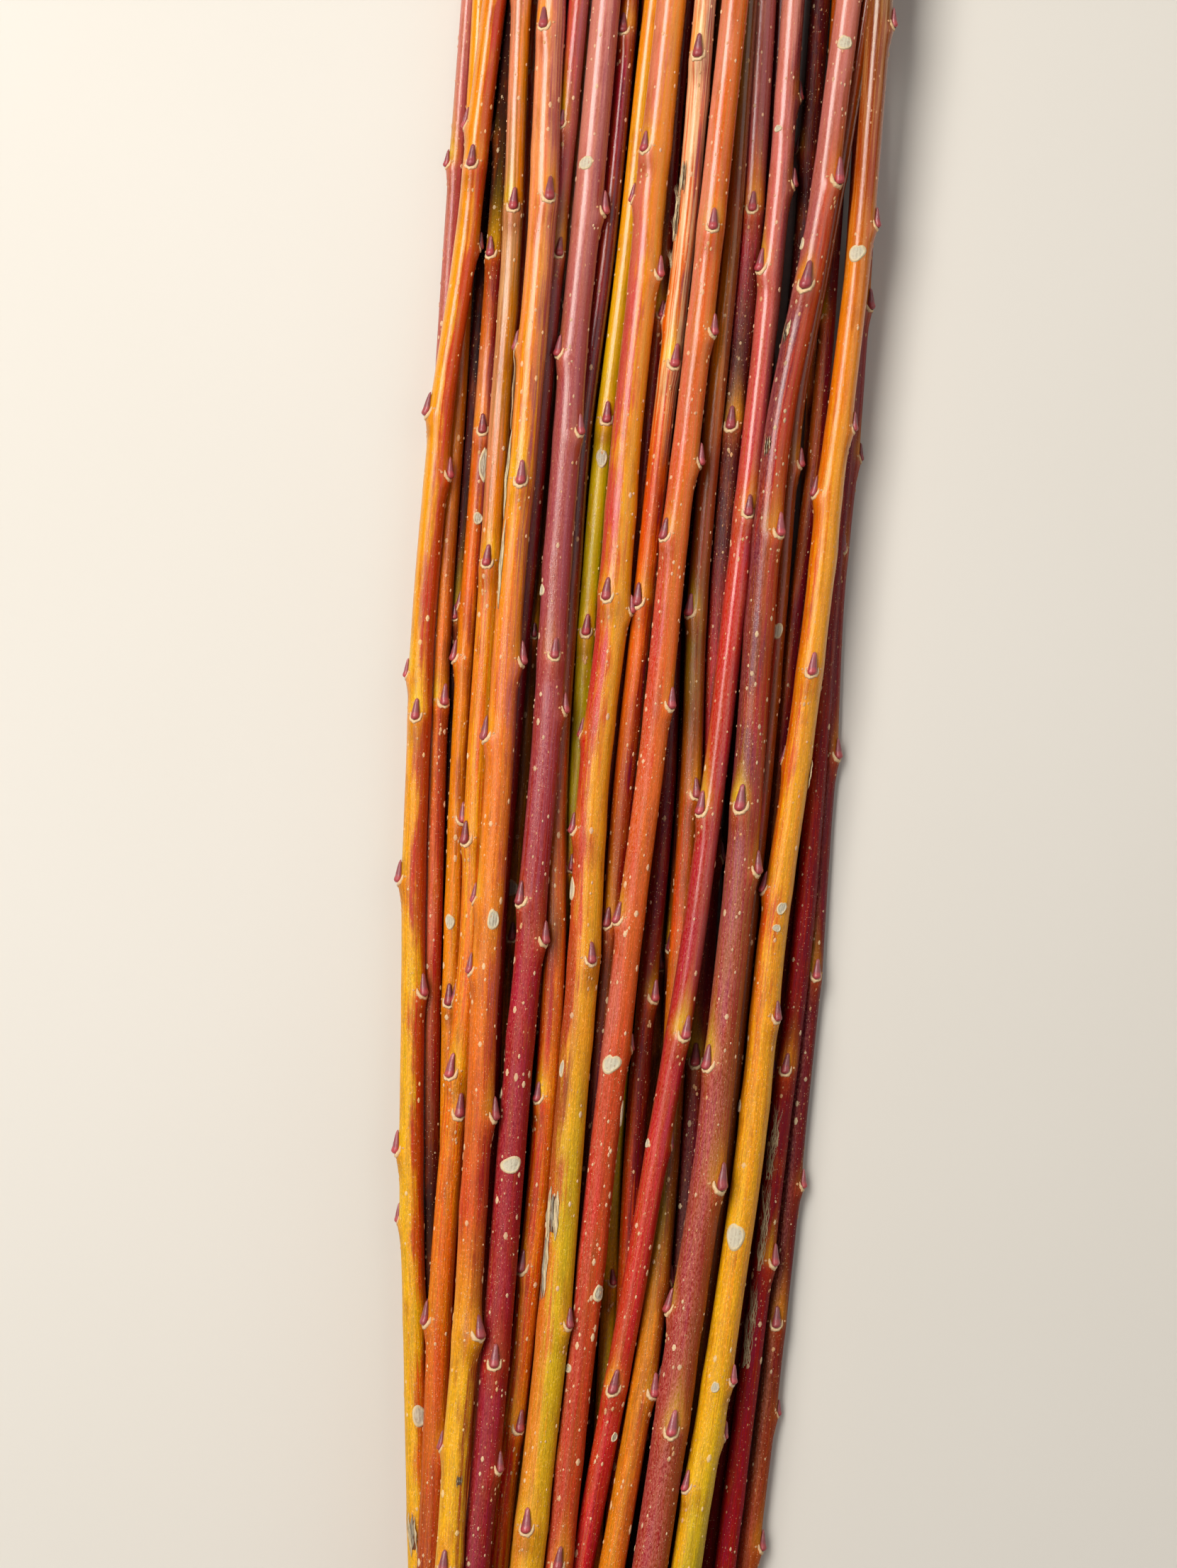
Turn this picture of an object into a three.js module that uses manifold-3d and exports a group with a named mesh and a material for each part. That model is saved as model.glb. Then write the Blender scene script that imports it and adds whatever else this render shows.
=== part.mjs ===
// A loose bundle of cut willow twigs that lies on its side in a low heap.
// Units are millimetres, +Z is up, and the buds point towards +Y, the way the twigs grew.
import * as THREE from 'three';
import { mergeVertices } from 'three/addons/utils/BufferGeometryUtils.js';
import Module from 'manifold-3d';

const wasm = await Module();
wasm.setup();

// Length of the bundle, and how far the single ends stand back from it
const HALF_LENGTH = 180;
const END_STEPS = [0, 3.2, 1.1, 4.4, 2.1, 5.3, 0.7];

// Places along Y, from the butts to the tips, at which the tables below say how far across a twig lies
const STATIONS = [-150, -116, -78, -39, 0, 34, 72, 111, 149];

// Straight stretches in a twig, and the places in each at which its distance to the others is tested
const STRETCHES = 10;
const TESTS_PER_STRETCH = 3;

// How the heap settles: the air kept between twigs, and the steps of sinking, straightening and drawing back
const GAP = 0.22;
const START_STEP = 1.1;
const SINK_ROUNDS = 1500;
const CLEAR_ROUNDS = 400;
const SINK_STEP = 0.06;
const STIFFNESS = 0.25;

// A bud: length over its scar, width, height over the bark, and the air that it keeps
const BUD_LENGTH = 5.4;
const BUD_WIDTH = 2.5;
const BUD_HEIGHT = 1.15;
const BUD_AIR = 0.3;
const BUD_TURN_STEP = 12;

// Left and right edge of the bundle at the stations, for twigs that are placed by share of its width
const LEFT_EDGE = [-33.6, -34.6, -35.1, -35.1, -34.1, -32.5, -30.2, -28.0, -25.2];
const RIGHT_EDGE = [34.6, 38.8, 43.0, 46.4, 49.2, 51.2, 54.4, 57.0, 59.3];

const BARK = {
  yellow: { color: 0xd9a21e, roughness: 0.4 },
  orange: { color: 0xd4752b, roughness: 0.4 },
  red: { color: 0xb33d27, roughness: 0.38 },
  mauve: { color: 0x9c5560, roughness: 0.5 },
  maroon: { color: 0x5a2226, roughness: 0.5 },
  olive: { color: 0xa8882a, roughness: 0.45 },
  tan: { color: 0xc79256, roughness: 0.6 },
};

// Lowest twigs. They lie on the surface, and one side of each is flat there.
// share is the place across the bundle, from 0 at its left edge to 1 at its right, at the butt and the tip.
const SURFACE_TWIGS = [
  { name: 'twig_under_1', bark: 'orange', share: [0.13, 0.13], thick: [5.4, 4.6] },
  { name: 'twig_under_2', bark: 'maroon', share: [0.225, 0.22], thick: [5.6, 5.0] },
  { name: 'twig_under_3', bark: 'red', share: [0.32, 0.305], thick: [5.4, 5.0] },
  { name: 'twig_under_4', bark: 'mauve', share: [0.42, 0.395], thick: [5.8, 5.2] },
  { name: 'twig_under_5', bark: 'maroon', share: [0.52, 0.485], thick: [5.6, 4.8] },
  { name: 'twig_under_6', bark: 'yellow', share: [0.615, 0.575], thick: [5.6, 5.2] },
  { name: 'twig_under_7', bark: 'red', share: [0.71, 0.665], thick: [5.6, 5.0] },
  { name: 'twig_under_8', bark: 'maroon', share: [0.8, 0.76], thick: [5.4, 4.6] },
];

// Twigs in the valleys between the lowest ones
const VALLEY_TWIGS = [
  { name: 'twig_valley_1', bark: 'maroon', share: [0.27, 0.26], thick: [4.6, 4.0] },
  { name: 'twig_valley_2', bark: 'orange', share: [0.37, 0.35], thick: [4.6, 4.2] },
  { name: 'twig_valley_3', bark: 'red', share: [0.47, 0.44], thick: [4.8, 4.2] },
  { name: 'twig_valley_4', bark: 'maroon', share: [0.57, 0.53], thick: [4.6, 4.0] },
  { name: 'twig_valley_5', bark: 'mauve', share: [0.66, 0.62], thick: [4.6, 4.0] },
];

// Twigs on the surface at the two edges of the bundle.
// across holds the distance to the right of the middle at each station, from the butt to the tip.
// A bud is a place along Y and a turn around the twig: 0 is up, -90 left and 90 right.
const EDGE_TWIGS = [
  {
    name: 'twig_edge_1', bark: 'mauve', thick: [3.4, 3.2],
    across: [-34.6, -34.6, -34.6, -34.3, -33.3, -31.9, -30.3, -27.9, -25.2],
    buds: [[128, -80], [60, -75]],
  },
  {
    name: 'twig_edge_2', bark: 'maroon', thick: [4.6, 2.8],
    across: [33.4, 37.7, 41.6, 45.7, 48.6, 50.3, 53.9, 56.6, 58.4],
    buds: [[99, 60], [49, 10], [7, 60], [-38, 20], [-81, 80], [-109, 0], [-155, 80]],
  },
];

// Twigs in the shade between the upper ones
const SHADED_TWIGS = [
  {
    name: 'twig_shaded_1', bark: 'maroon', thick: [3.8, 3.2],
    across: [-30.6, -30.8, -30.5, -29.8, -28.7, -27.0, -23.9, -21.4, -19.3],
    buds: [[35, -10]],
  },
  {
    name: 'twig_shaded_2', bark: 'maroon', thick: [4.2, 4.0],
    across: [16.8, 21.0, 25.4, 29.4, 32.8, 36.2, 40.0, 44.0, 47.4],
    buds: [[20, 10]],
  },
  {
    name: 'twig_shaded_3', bark: 'maroon', thick: [4.2, 3.6],
    across: [25.2, 29.8, 34.9, 40.3, 42.0, 43.6, 46.0, 48.6, 50.9],
    buds: [[-58, 0]],
  },
  {
    name: 'twig_shaded_5', bark: 'tan', thick: [3.8, 3.4],
    across: [-17.6, -17.9, -17.6, -16.4, -13.5, -11.6, -8.5, -4.8, -1.2],
    buds: [[31, 20], [-30, 10]],
  },
  {
    name: 'twig_shaded_6', bark: 'red', thick: [3.6, 3.0],
    across: [-10.5, -6.8, -2.9, 1.0, 4.5, 8.5, 12.1, 15.9, 19.9],
    buds: [[96, 15]],
  },
  {
    name: 'twig_shaded_4', bark: 'red', thick: [3.8, 3.2],
    across: [22.2, 26.4, 30.6, 34.6, 38.6, 42.2, 46.8, 50.1, 53.0],
    buds: [[96, -60]],
  },
];

// Twigs of the second layer, half covered by the top ones
const MIDDLE_TWIGS = [
  {
    name: 'twig_middle_1', bark: 'maroon', thick: [4.4, 3.8],
    across: [28.8, 33.1, 37.8, 42.9, 46.4, 48.8, 52.2, 54.0, 55.2],
    buds: [[-57, -10], [-96, 60]],
  },
  {
    name: 'twig_middle_2', bark: 'olive', thick: [3.4, 3.4],
    across: [-31.9, -32.0, -32.1, -31.8, -30.9, -29.8, -27.2, -25.0, -22.8],
    buds: [[18, 25]],
  },
  {
    name: 'twig_middle_3', bark: 'red', thick: [4.2, 3.8],
    across: [5.4, 6.9, 8.3, 11.6, 15.8, 17.6, 19.2, 20.9, 22.6],
    buds: [[-42, 40]],
  },
  {
    name: 'twig_middle_4', bark: 'olive', thick: [3.2, 3.2],
    across: [1.1, 3.6, 5.8, 8.9, 12.1, 15.6, 19.2, 23.0, 26.4],
    buds: [[-100, 20]],
  },
  {
    name: 'twig_middle_5', bark: 'mauve', thick: [4.4, 5.4],
    across: [13.4, 16.9, 20.4, 22.9, 24.6, 26.4, 29.1, 32.6, 34.6],
    buds: [[118, -10], [74, -35], [-55, -30]],
  },
  {
    name: 'twig_middle_6', bark: 'orange', thick: [5.4, 3.4],
    across: [5.8, 11.6, 15.9, 18.2, 20.8, 22.1, 25.4, 29.2, 31.9],
    buds: [[36, -40], [-1, 25], [-121, 50]],
  },
  {
    name: 'twig_middle_7', bark: 'tan', thick: [4.2, 4.4],
    across: [-7.0, -3.6, -0.2, 3.6, 7.2, 10.9, 14.9, 19.6, 22.8],
    buds: [[148, -15], [86, 30], [38, -30], [-27, -25]],
  },
  {
    name: 'twig_middle_8', bark: 'olive', thick: [4.0, 3.8],
    across: [-13.9, -12.4, -10.2, -6.8, -2.8, -0.2, 3.2, 7.8, 12.2],
    buds: [[75, 40], [32, -40], [-16, 20]],
  },
  {
    name: 'twig_middle_9', bark: 'red', thick: [5.0, 3.8],
    across: [-16.9, -13.2, -9.2, -6.5, -6.2, -4.1, -1.2, 4.1, 7.5],
    buds: [[154, -45], [-62, -40], [-96, -40], [-128, 30]],
  },
  {
    name: 'twig_middle_10', bark: 'red', thick: [3.8, 4.2],
    across: [-20.8, -20.6, -20.2, -18.9, -16.1, -13.2, -9.8, -6.6, -2.8],
    buds: [[134, -40], [108, 20]],
  },
  {
    name: 'twig_middle_11', bark: 'orange', thick: [3.6, 3.2],
    across: [-24.4, -24.6, -24.4, -23.2, -21.4, -19.1, -15.9, -12.6, -10.9],
    buds: [[146, -60], [77, -10], [-5, -45]],
  },
  {
    name: 'twig_middle_12', bark: 'orange', thick: [3.8, 3.8],
    across: [-28.2, -28.6, -28.6, -27.8, -26.5, -24.2, -21.5, -18.6, -15.8],
    buds: [[109, -25], [73, 30], [27, -80], [-6, 30], [-43, -10]],
  },
  {
    name: 'twig_middle_13', bark: 'red', thick: [3.6, 3.2],
    across: [19.2, 22.9, 26.8, 30.9, 35.3, 38.4, 41.6, 48.6, 54.6],
    buds: [[66, 80]],
  },
];

// Twigs on top, which show from end to end
const TOP_TWIGS = [
  {
    name: 'twig_top_1', bark: 'yellow', thick: [4.7, 4.9],
    across: [-34.5, -35.4, -35.8, -35.8, -34.8, -33.4, -30.2, -24.8, -20.1],
    buds: [[127, -15], [77, -80], [64, 70], [15, -15], [-18, -85], [-41, 50], [-73, -85]],
  },
  {
    name: 'twig_top_2', bark: 'orange', thick: [5.1, 4.0],
    across: [-31.9, -30.4, -28.1, -24.2, -22.6, -20.5, -18.2, -15.5, -13.9],
    buds: [[118, 0], [46, -15], [-10, -40], [-57, -35], [-65, 20], [-107, -70], [-133, 60]],
  },
  {
    name: 'twig_top_3', bark: 'mauve', thick: [7.3, 5.0],
    across: [13.4, 18.6, 24.1, 28.4, 32.1, 34.4, 38.4, 46.2, 51.4],
    buds: [[123, 50], [102, -10], [52, 45], [-3, -20], [-16, 75], [-55, -45], [-79, 45], [-104, -80], [-128, 0]],
  },
  {
    name: 'twig_top_4', bark: 'yellow', thick: [6.2, 4.9],
    across: [20.9, 26.2, 32.1, 36.2, 41.9, 46.1, 50.4, 54.9, 57.9],
    buds: [
      [154, 80], [114, 75], [73, 85], [60, -75], [24, 5], [-20, -80], [-46, 50], [-119, 70], [-140, -50],
    ],
  },
  {
    name: 'twig_top_5', bark: 'red', thick: [4.9, 4.7],
    across: [0.2, 6.5, 12.9, 19.8, 25.4, 29.2, 33.6, 37.9, 40.8],
    buds: [[123, 85], [106, -80], [56, 35], [-4, -45], [-49, 30], [-120, -10]],
  },
  {
    name: 'twig_top_6', bark: 'orange', thick: [5.6, 5.5],
    across: [-5.2, -1.4, 2.4, 7.2, 12.1, 15.8, 19.9, 24.5, 28.6],
    buds: [[113, 5], [92, 60], [66, 80], [51, -45], [17, 50], [-26, -60], [-155, -5]],
  },
  {
    name: 'twig_top_7', bark: 'olive', thick: [6.6, 6.1],
    across: [-11.6, -7.9, -4.8, -1.4, 1.2, 4.8, 7.8, 11.9, 15.8],
    buds: [[129, -40], [104, 60], [39, -25], [36, 75], [-8, -75], [-34, 25], [-107, 80], [-147, -15]],
  },
  {
    name: 'twig_top_8', bark: 'mauve', thick: [5.7, 5.9],
    across: [-22.1, -18.8, -15.8, -12.5, -9.2, -6.9, -4.2, -0.9, 2.6],
    buds: [[117, 80], [88, -60], [72, 50], [27, 10], [16, 80], [-22, -45], [-30, 60], [-114, -55], [-135, 60]],
  },
  {
    name: 'twig_top_9', bark: 'orange', thick: [5.4, 5.7],
    across: [-27.1, -24.9, -22.6, -20.5, -17.9, -16.1, -12.4, -9.2, -7.6],
    buds: [
      [154, -25], [119, 20], [62, 0], [26, 80], [11, -70], [-36, -75], [-65, 70], [-70, -40],
      [-108, 45], [-154, -20],
    ],
  },
];

// Sides of a twig's section: the hidden ones are plainer
const PLAIN_SIDES = 6;
const FULL_SIDES = 8;

function mix(low, high, share) {
  return low + (high - low) * share;
}

// Value at place y of a list of values that stand at the places ys, in straight stretches
function between(ys, values, y) {
  let k = 0;
  while (k < ys.length - 2 && ys[k + 1] < y) k += 1;
  return mix(values[k], values[k + 1], (y - ys[k]) / (ys[k + 1] - ys[k]));
}

// Smooth line across the bundle, through the values at the stations and on past both ends
function smoothAcross(values) {
  const ends = [-HALF_LENGTH, ...STATIONS, HALF_LENGTH];
  const last = values.length - 1;
  const buttSlope = (values[1] - values[0]) / (STATIONS[1] - STATIONS[0]);
  const tipSlope = (values[last] - values[last - 1]) / (STATIONS[last] - STATIONS[last - 1]);
  const butt = values[0] - buttSlope * (STATIONS[0] + HALF_LENGTH);
  const tip = values[last] + tipSlope * (HALF_LENGTH - STATIONS[last]);
  const points = [butt, ...values, tip].map((x, k) => new THREE.Vector3(x, ends[k], 0));
  const curve = new THREE.CatmullRomCurve3(points, false, 'centripetal');
  const fine = curve.getPoints(200);
  return (y) => between(fine.map((p) => p.y), fine.map((p) => p.x), y);
}

// The rings of one twig, at the height from which it sinks into the heap
function plan(twig, index) {
  let values = twig.across;
  if (!values) {
    values = STATIONS.map((y, k) => {
      const share = mix(twig.share[0], twig.share[1], k / (STATIONS.length - 1));
      return mix(LEFT_EDGE[k], RIGHT_EDGE[k], share);
    });
  }
  const ys = Array.from({ length: STRETCHES + 1 }, (_, k) => mix(-HALF_LENGTH, HALF_LENGTH, k / STRETCHES));
  const wanted = ys.map(smoothAcross(values));
  const radii = ys.map((y, k) => mix(twig.thick[0], twig.thick[1], k / STRETCHES) / 2);
  return {
    ...twig,
    sides: twig.across ? FULL_SIDES : PLAIN_SIDES,
    ys,
    wanted,
    radii,
    xs: [...wanted],
    zs: radii.map((radius) => radius + index * START_STEP),
  };
}

// Push two twigs apart wherever they are closer than their radii and the gap between them
function pushApart(low, high) {
  for (let test = 0; test <= STRETCHES * TESTS_PER_STRETCH; test += 1) {
    const k = Math.min(Math.floor(test / TESTS_PER_STRETCH), STRETCHES - 1);
    const b = test / TESTS_PER_STRETCH - k;
    const a = 1 - b;
    const reach = a * (low.radii[k] + high.radii[k]) + b * (low.radii[k + 1] + high.radii[k + 1]) + GAP;
    const dx = a * (high.xs[k] - low.xs[k]) + b * (high.xs[k + 1] - low.xs[k + 1]);
    if (Math.abs(dx) >= reach) continue;
    const dz = a * (high.zs[k] - low.zs[k]) + b * (high.zs[k + 1] - low.zs[k + 1]);
    const apart = Math.hypot(dx, dz);
    if (apart >= reach) continue;
    const nx = dx / apart;
    const nz = dz / apart;
    const yielding = nx * nx * (low.loose + high.loose) + 2 * nz * nz;
    const push = (reach - apart) / (yielding * (a * a + b * b));
    low.xs[k] -= push * nx * low.loose * a;
    low.xs[k + 1] -= push * nx * low.loose * b;
    high.xs[k] += push * nx * high.loose * a;
    high.xs[k + 1] += push * nx * high.loose * b;
    low.zs[k] -= push * nz * a;
    low.zs[k + 1] -= push * nz * b;
    high.zs[k] += push * nz * a;
    high.zs[k + 1] += push * nz * b;
  }
}

// One round for one twig on its own: it sinks, straightens, is drawn to its place and stays over the surface
function sink(rod, step) {
  const { xs, zs, wanted, radii } = rod;
  for (let k = 0; k <= STRETCHES; k += 1) {
    zs[k] -= step;
    xs[k] += (wanted[k] - xs[k]) * rod.pull;
  }
  for (let k = 1; k < STRETCHES; k += 1) {
    zs[k] += STIFFNESS * ((zs[k - 1] + zs[k + 1]) / 2 - zs[k]);
    const aside = (xs[k - 1] - wanted[k - 1] + xs[k + 1] - wanted[k + 1]) / 2;
    xs[k] += STIFFNESS * (wanted[k] + aside - xs[k]);
  }
  for (let k = 0; k <= STRETCHES; k += 1) zs[k] = Math.max(zs[k], radii[k] * Math.cos(Math.PI / rod.sides));
}

// Let all twigs settle into one heap, then clear what still touches
function settle(rods) {
  const pairs = rods.flatMap((low, i) => rods.slice(i + 1).map((high) => [low, high]));
  for (let round = 0; round < SINK_ROUNDS; round += 1) {
    for (const rod of rods) sink(rod, SINK_STEP);
    for (const [low, high] of pairs) pushApart(low, high);
  }
  for (let round = 0; round < CLEAR_ROUNDS; round += 1) {
    for (const [low, high] of pairs) pushApart(low, high);
    for (const { zs, radii, sides } of rods) {
      zs.forEach((z, k) => { zs[k] = Math.max(z, radii[k] * Math.cos(Math.PI / sides)); });
    }
  }
}

// Cut a twig's ends back along its own last stretches
function cutEnds(rod, index) {
  const butt = -HALF_LENGTH + END_STEPS[index % END_STEPS.length];
  const tip = HALF_LENGTH - END_STEPS[(index * 3 + 1) % END_STEPS.length];
  for (const [k, y] of [[0, butt], [STRETCHES, tip]]) {
    const x = between(rod.ys, rod.xs, y);
    const z = between(rod.ys, rod.zs, y);
    const radius = between(rod.ys, rod.radii, y);
    rod.xs[k] = x;
    rod.zs[k] = z;
    rod.radii[k] = radius;
    rod.ys[k] = y;
  }
}

// Closed tube through a twig's rings, with a flat side down and straight cut ends
function twigGeometry(rod) {
  const { sides, ys, xs, zs, radii } = rod;
  const positions = [];
  const faces = [];
  ys.forEach((y, k) => {
    for (let j = 0; j < sides; j += 1) {
      const angle = ((j + 0.5) * 2 * Math.PI) / sides - Math.PI / 2;
      positions.push(xs[k] + radii[k] * Math.cos(angle), y, zs[k] + radii[k] * Math.sin(angle));
    }
  });
  for (let k = 0; k < ys.length - 1; k += 1) {
    for (let j = 0; j < sides; j += 1) {
      const a = k * sides + j;
      const b = k * sides + ((j + 1) % sides);
      faces.push(a, a + sides, b, b, a + sides, b + sides);
    }
  }
  const top = (ys.length - 1) * sides;
  for (let j = 1; j < sides - 1; j += 1) {
    faces.push(0, j, j + 1);
    faces.push(top, top + j + 1, top + j);
  }
  const geometry = new THREE.BufferGeometry();
  geometry.setAttribute('position', new THREE.Float32BufferAttribute(positions, 3));
  geometry.setIndex(faces);
  return geometry;
}

// Middle, radius and direction of a twig at place y
function placeOn(rod, y) {
  const middle = new THREE.Vector3(between(rod.ys, rod.xs, y), y, between(rod.ys, rod.zs, y));
  const ahead = new THREE.Vector3(between(rod.ys, rod.xs, y + 1), y + 1, between(rod.ys, rod.zs, y + 1));
  return { middle, radius: between(rod.ys, rod.radii, y), along: ahead.sub(middle).normalize() };
}

// Whether a bud at this turn has air around it, seen from the other twigs and their buds
function budFits(rod, y, turn, rods, budPoints) {
  const out = new THREE.Vector3(Math.sin(turn), 0, Math.cos(turn));
  for (const step of [-0.4, 0.1, 0.5]) {
    const at = y + step * BUD_LENGTH;
    if (at < rod.ys[0] || at > rod.ys[rod.ys.length - 1]) return false;
    const { middle, radius } = placeOn(rod, at);
    const point = middle.clone().addScaledVector(out, radius - 0.1);
    const size = BUD_HEIGHT + 0.1;
    if (point.z - size < BUD_AIR) return false;
    for (const other of rods) {
      if (other === rod || at < other.ys[0] || at > other.ys[other.ys.length - 1]) continue;
      const there = placeOn(other, at);
      const apart = Math.hypot(point.x - there.middle.x, point.z - there.middle.z);
      if (apart < there.radius + size + BUD_AIR) return false;
    }
    if (budPoints.some((p) => p.distanceTo(point) < 2 * size + BUD_LENGTH / 2)) return false;
  }
  return true;
}

// The turn nearest to the wanted one, towards the top of the twig, at which a bud has room, or null
function findTurn(rod, y, wanted, rods, budPoints) {
  const tries = Math.floor(Math.abs(wanted) / BUD_TURN_STEP) + 1;
  for (let k = 0; k <= tries; k += 1) {
    const degrees = Math.sign(wanted) * Math.max(0, Math.abs(wanted) - k * BUD_TURN_STEP);
    const turn = THREE.MathUtils.degToRad(degrees);
    if (budFits(rod, y, turn, rods, budPoints)) return turn;
  }
  return null;
}

// A bud pressed to the bark: a keel from the heel over the crest to the tip, with two flanks
function budGeometry(rod, y, turn) {
  const { middle, radius, along } = placeOn(rod, y);
  const out = new THREE.Vector3(Math.sin(turn), 0, Math.cos(turn));
  const side = new THREE.Vector3().crossVectors(along, out).normalize();
  const half = BUD_WIDTH / 2;
  const flank = Math.sqrt(radius * radius - half * half) - 0.3;
  const point = (s, t, n) => {
    const p = middle.clone().addScaledVector(along, s).addScaledVector(side, t).addScaledVector(out, n);
    return [p.x, p.y, p.z];
  };
  const positions = [
    ...point(-0.3 * BUD_LENGTH, 0, radius - 0.4),
    ...point(-0.1 * BUD_LENGTH, half, flank),
    ...point(0.7 * BUD_LENGTH, 0, radius - 0.15),
    ...point(-0.1 * BUD_LENGTH, -half, flank),
    ...point(0, 0, radius + BUD_HEIGHT),
    ...point(0, 0, radius * 0.35),
  ];
  const faces = [];
  for (let k = 0; k < 4; k += 1) {
    const next = (k + 1) % 4;
    faces.push(k, next, 4, next, k, 5);
  }
  const geometry = new THREE.BufferGeometry();
  geometry.setAttribute('position', new THREE.Float32BufferAttribute(positions, 3));
  geometry.setIndex(faces);
  return geometry;
}

function toSolid(geometry) {
  const merged = mergeVertices(geometry, 1e-4);
  return new wasm.Manifold(new wasm.Mesh({
    numProp: 3,
    vertProperties: new Float32Array(merged.attributes.position.array),
    triVerts: new Uint32Array(merged.index.array),
  }));
}

function toGeometry(solid) {
  const mesh = solid.getMesh();
  const geometry = new THREE.BufferGeometry();
  geometry.setAttribute('position', new THREE.BufferAttribute(new Float32Array(mesh.vertProperties), 3));
  geometry.setIndex(new THREE.BufferAttribute(new Uint32Array(mesh.triVerts), 1));
  geometry.computeVertexNormals();
  return geometry;
}

// One twig as a named mesh, with its buds grown into it
function buildTwig(rod, rods, budPoints) {
  let solid = toSolid(twigGeometry(rod));
  for (const [y, degrees] of rod.buds ?? []) {
    const turn = findTurn(rod, y, degrees, rods, budPoints);
    if (turn === null) continue;
    solid = solid.add(toSolid(budGeometry(rod, y, turn)));
    const { middle, radius } = placeOn(rod, y);
    budPoints.push(middle.add(new THREE.Vector3(Math.sin(turn), 0, Math.cos(turn)).multiplyScalar(radius)));
  }
  const { color, roughness } = BARK[rod.bark];
  const mesh = new THREE.Mesh(
    toGeometry(solid),
    new THREE.MeshStandardMaterial({ color, roughness, metalness: 0 }),
  );
  mesh.name = rod.name;
  return mesh;
}

// Every twig at rest in the heap. Those on top keep their places, and the others give way to them.
function layAll() {
  const layers = [
    { twigs: SURFACE_TWIGS, pull: 0.3, loose: 0.1 },
    { twigs: EDGE_TWIGS, pull: 0.3, loose: 0.1 },
    { twigs: VALLEY_TWIGS, pull: 0.01, loose: 1 },
    { twigs: SHADED_TWIGS, pull: 0.2, loose: 0.3 },
    { twigs: MIDDLE_TWIGS, pull: 0.2, loose: 0.3 },
    { twigs: TOP_TWIGS, pull: 0.3, loose: 0.15 },
  ];
  const rods = layers
    .flatMap(({ twigs, pull, loose }) => twigs.map((twig) => ({ ...twig, pull, loose })))
    .map(plan);
  settle(rods);
  rods.forEach(cutEnds);
  return rods;
}

// The whole bundle, with its origin under the middle of its box
function buildBundle() {
  const group = new THREE.Group();
  const rods = layAll();
  const budPoints = [];
  for (const rod of [...rods].reverse()) group.add(buildTwig(rod, rods, budPoints));
  const middle = new THREE.Box3().setFromObject(group).getCenter(new THREE.Vector3());
  group.position.set(-middle.x, -middle.y, 0);
  return group;
}

export default buildBundle();
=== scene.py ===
# A loose bundle of cut willow twigs on a pale floor, seen from straight above.
# Lengths are millimetres until a mesh is made. +Z is up, and the twigs grew towards +Y.
import math
from dataclasses import dataclass
import bpy
import numpy as np
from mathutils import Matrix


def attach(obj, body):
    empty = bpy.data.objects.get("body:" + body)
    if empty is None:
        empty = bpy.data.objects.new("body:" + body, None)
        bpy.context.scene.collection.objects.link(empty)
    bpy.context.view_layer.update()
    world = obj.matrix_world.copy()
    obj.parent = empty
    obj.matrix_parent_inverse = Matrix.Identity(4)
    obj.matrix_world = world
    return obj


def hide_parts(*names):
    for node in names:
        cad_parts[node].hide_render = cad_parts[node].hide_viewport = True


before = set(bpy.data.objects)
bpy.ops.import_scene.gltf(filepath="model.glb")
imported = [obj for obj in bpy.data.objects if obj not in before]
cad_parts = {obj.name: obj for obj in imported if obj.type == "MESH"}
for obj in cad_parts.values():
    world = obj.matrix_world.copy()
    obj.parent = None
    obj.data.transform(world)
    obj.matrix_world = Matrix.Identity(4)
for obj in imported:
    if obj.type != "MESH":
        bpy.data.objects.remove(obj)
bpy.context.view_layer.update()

MM = 0.001

# The frame's rings: one every RING_STEP along Y, and one at each cut end
HALF_LENGTH = 180.0
RING_STEP = 36.0
RING_SIDES = 8
PLAIN_RING_SIDES = 6

# A bud: its crest stands BUD_RISE over the bark, its heel is BUD_HEEL below and its tip BUD_TIP above that
BUD_RISE = 1.15
BUD_HEEL = 2.0
BUD_TIP = 2.6
BUD_WIDTH = 1.7

# A corner of the frame's solid that stands further than this over the bark is the crest of a bud
CREST_TEST = 0.8

# The leaf scar around a bud's heel: a pale U, thickest in the middle
COLLAR_WIDTH = 2.25
COLLAR_DEPTH = 1.4
COLLAR_THICK = 0.72
COLLAR_HIGH = 0.36
COLLAR_TURN = 118.0

# The waves of its crust: how fast each runs around the scar, and its share of the scar's size
COLLAR_CRUST = [(3.1, 0.09), (7.3, 0.09), (13.0, 0.07)]

# The bark: its ribs' depth, how much its radius sways, and how far it swells into a shelf under a bud,
# into a node all around, and under a scar
RIB_DEPTH = 0.016
SWAY = 0.025
SHELF = 0.6
NODE_SWELL = 0.05
SCAR_SWELL = 0.14

# How far a cut end is out of square, at least, and how far from the end the bark still leans with it
CUT_SLANT = 0.35
CUT_REACH = 8.0

# Willow buds follow each other two fifths of a turn apart
BUD_TURN = math.radians(144.0)

# No point of a twig comes closer to the floor
FLOOR_GAP = 0.01

# How far a twig bends towards each bud
KINK = 0.22

# Lenticels for each dot of a look
LENTICELS = 1.8

# What the camera sees: the middle of the photograph, the height of its frame and of the upper twigs
VIEW_X = -11.645
VIEW_HEIGHT = 316.0
VIEW_LEVEL = 14.0
LENS = 85.0
SENSOR = 36.0

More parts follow.
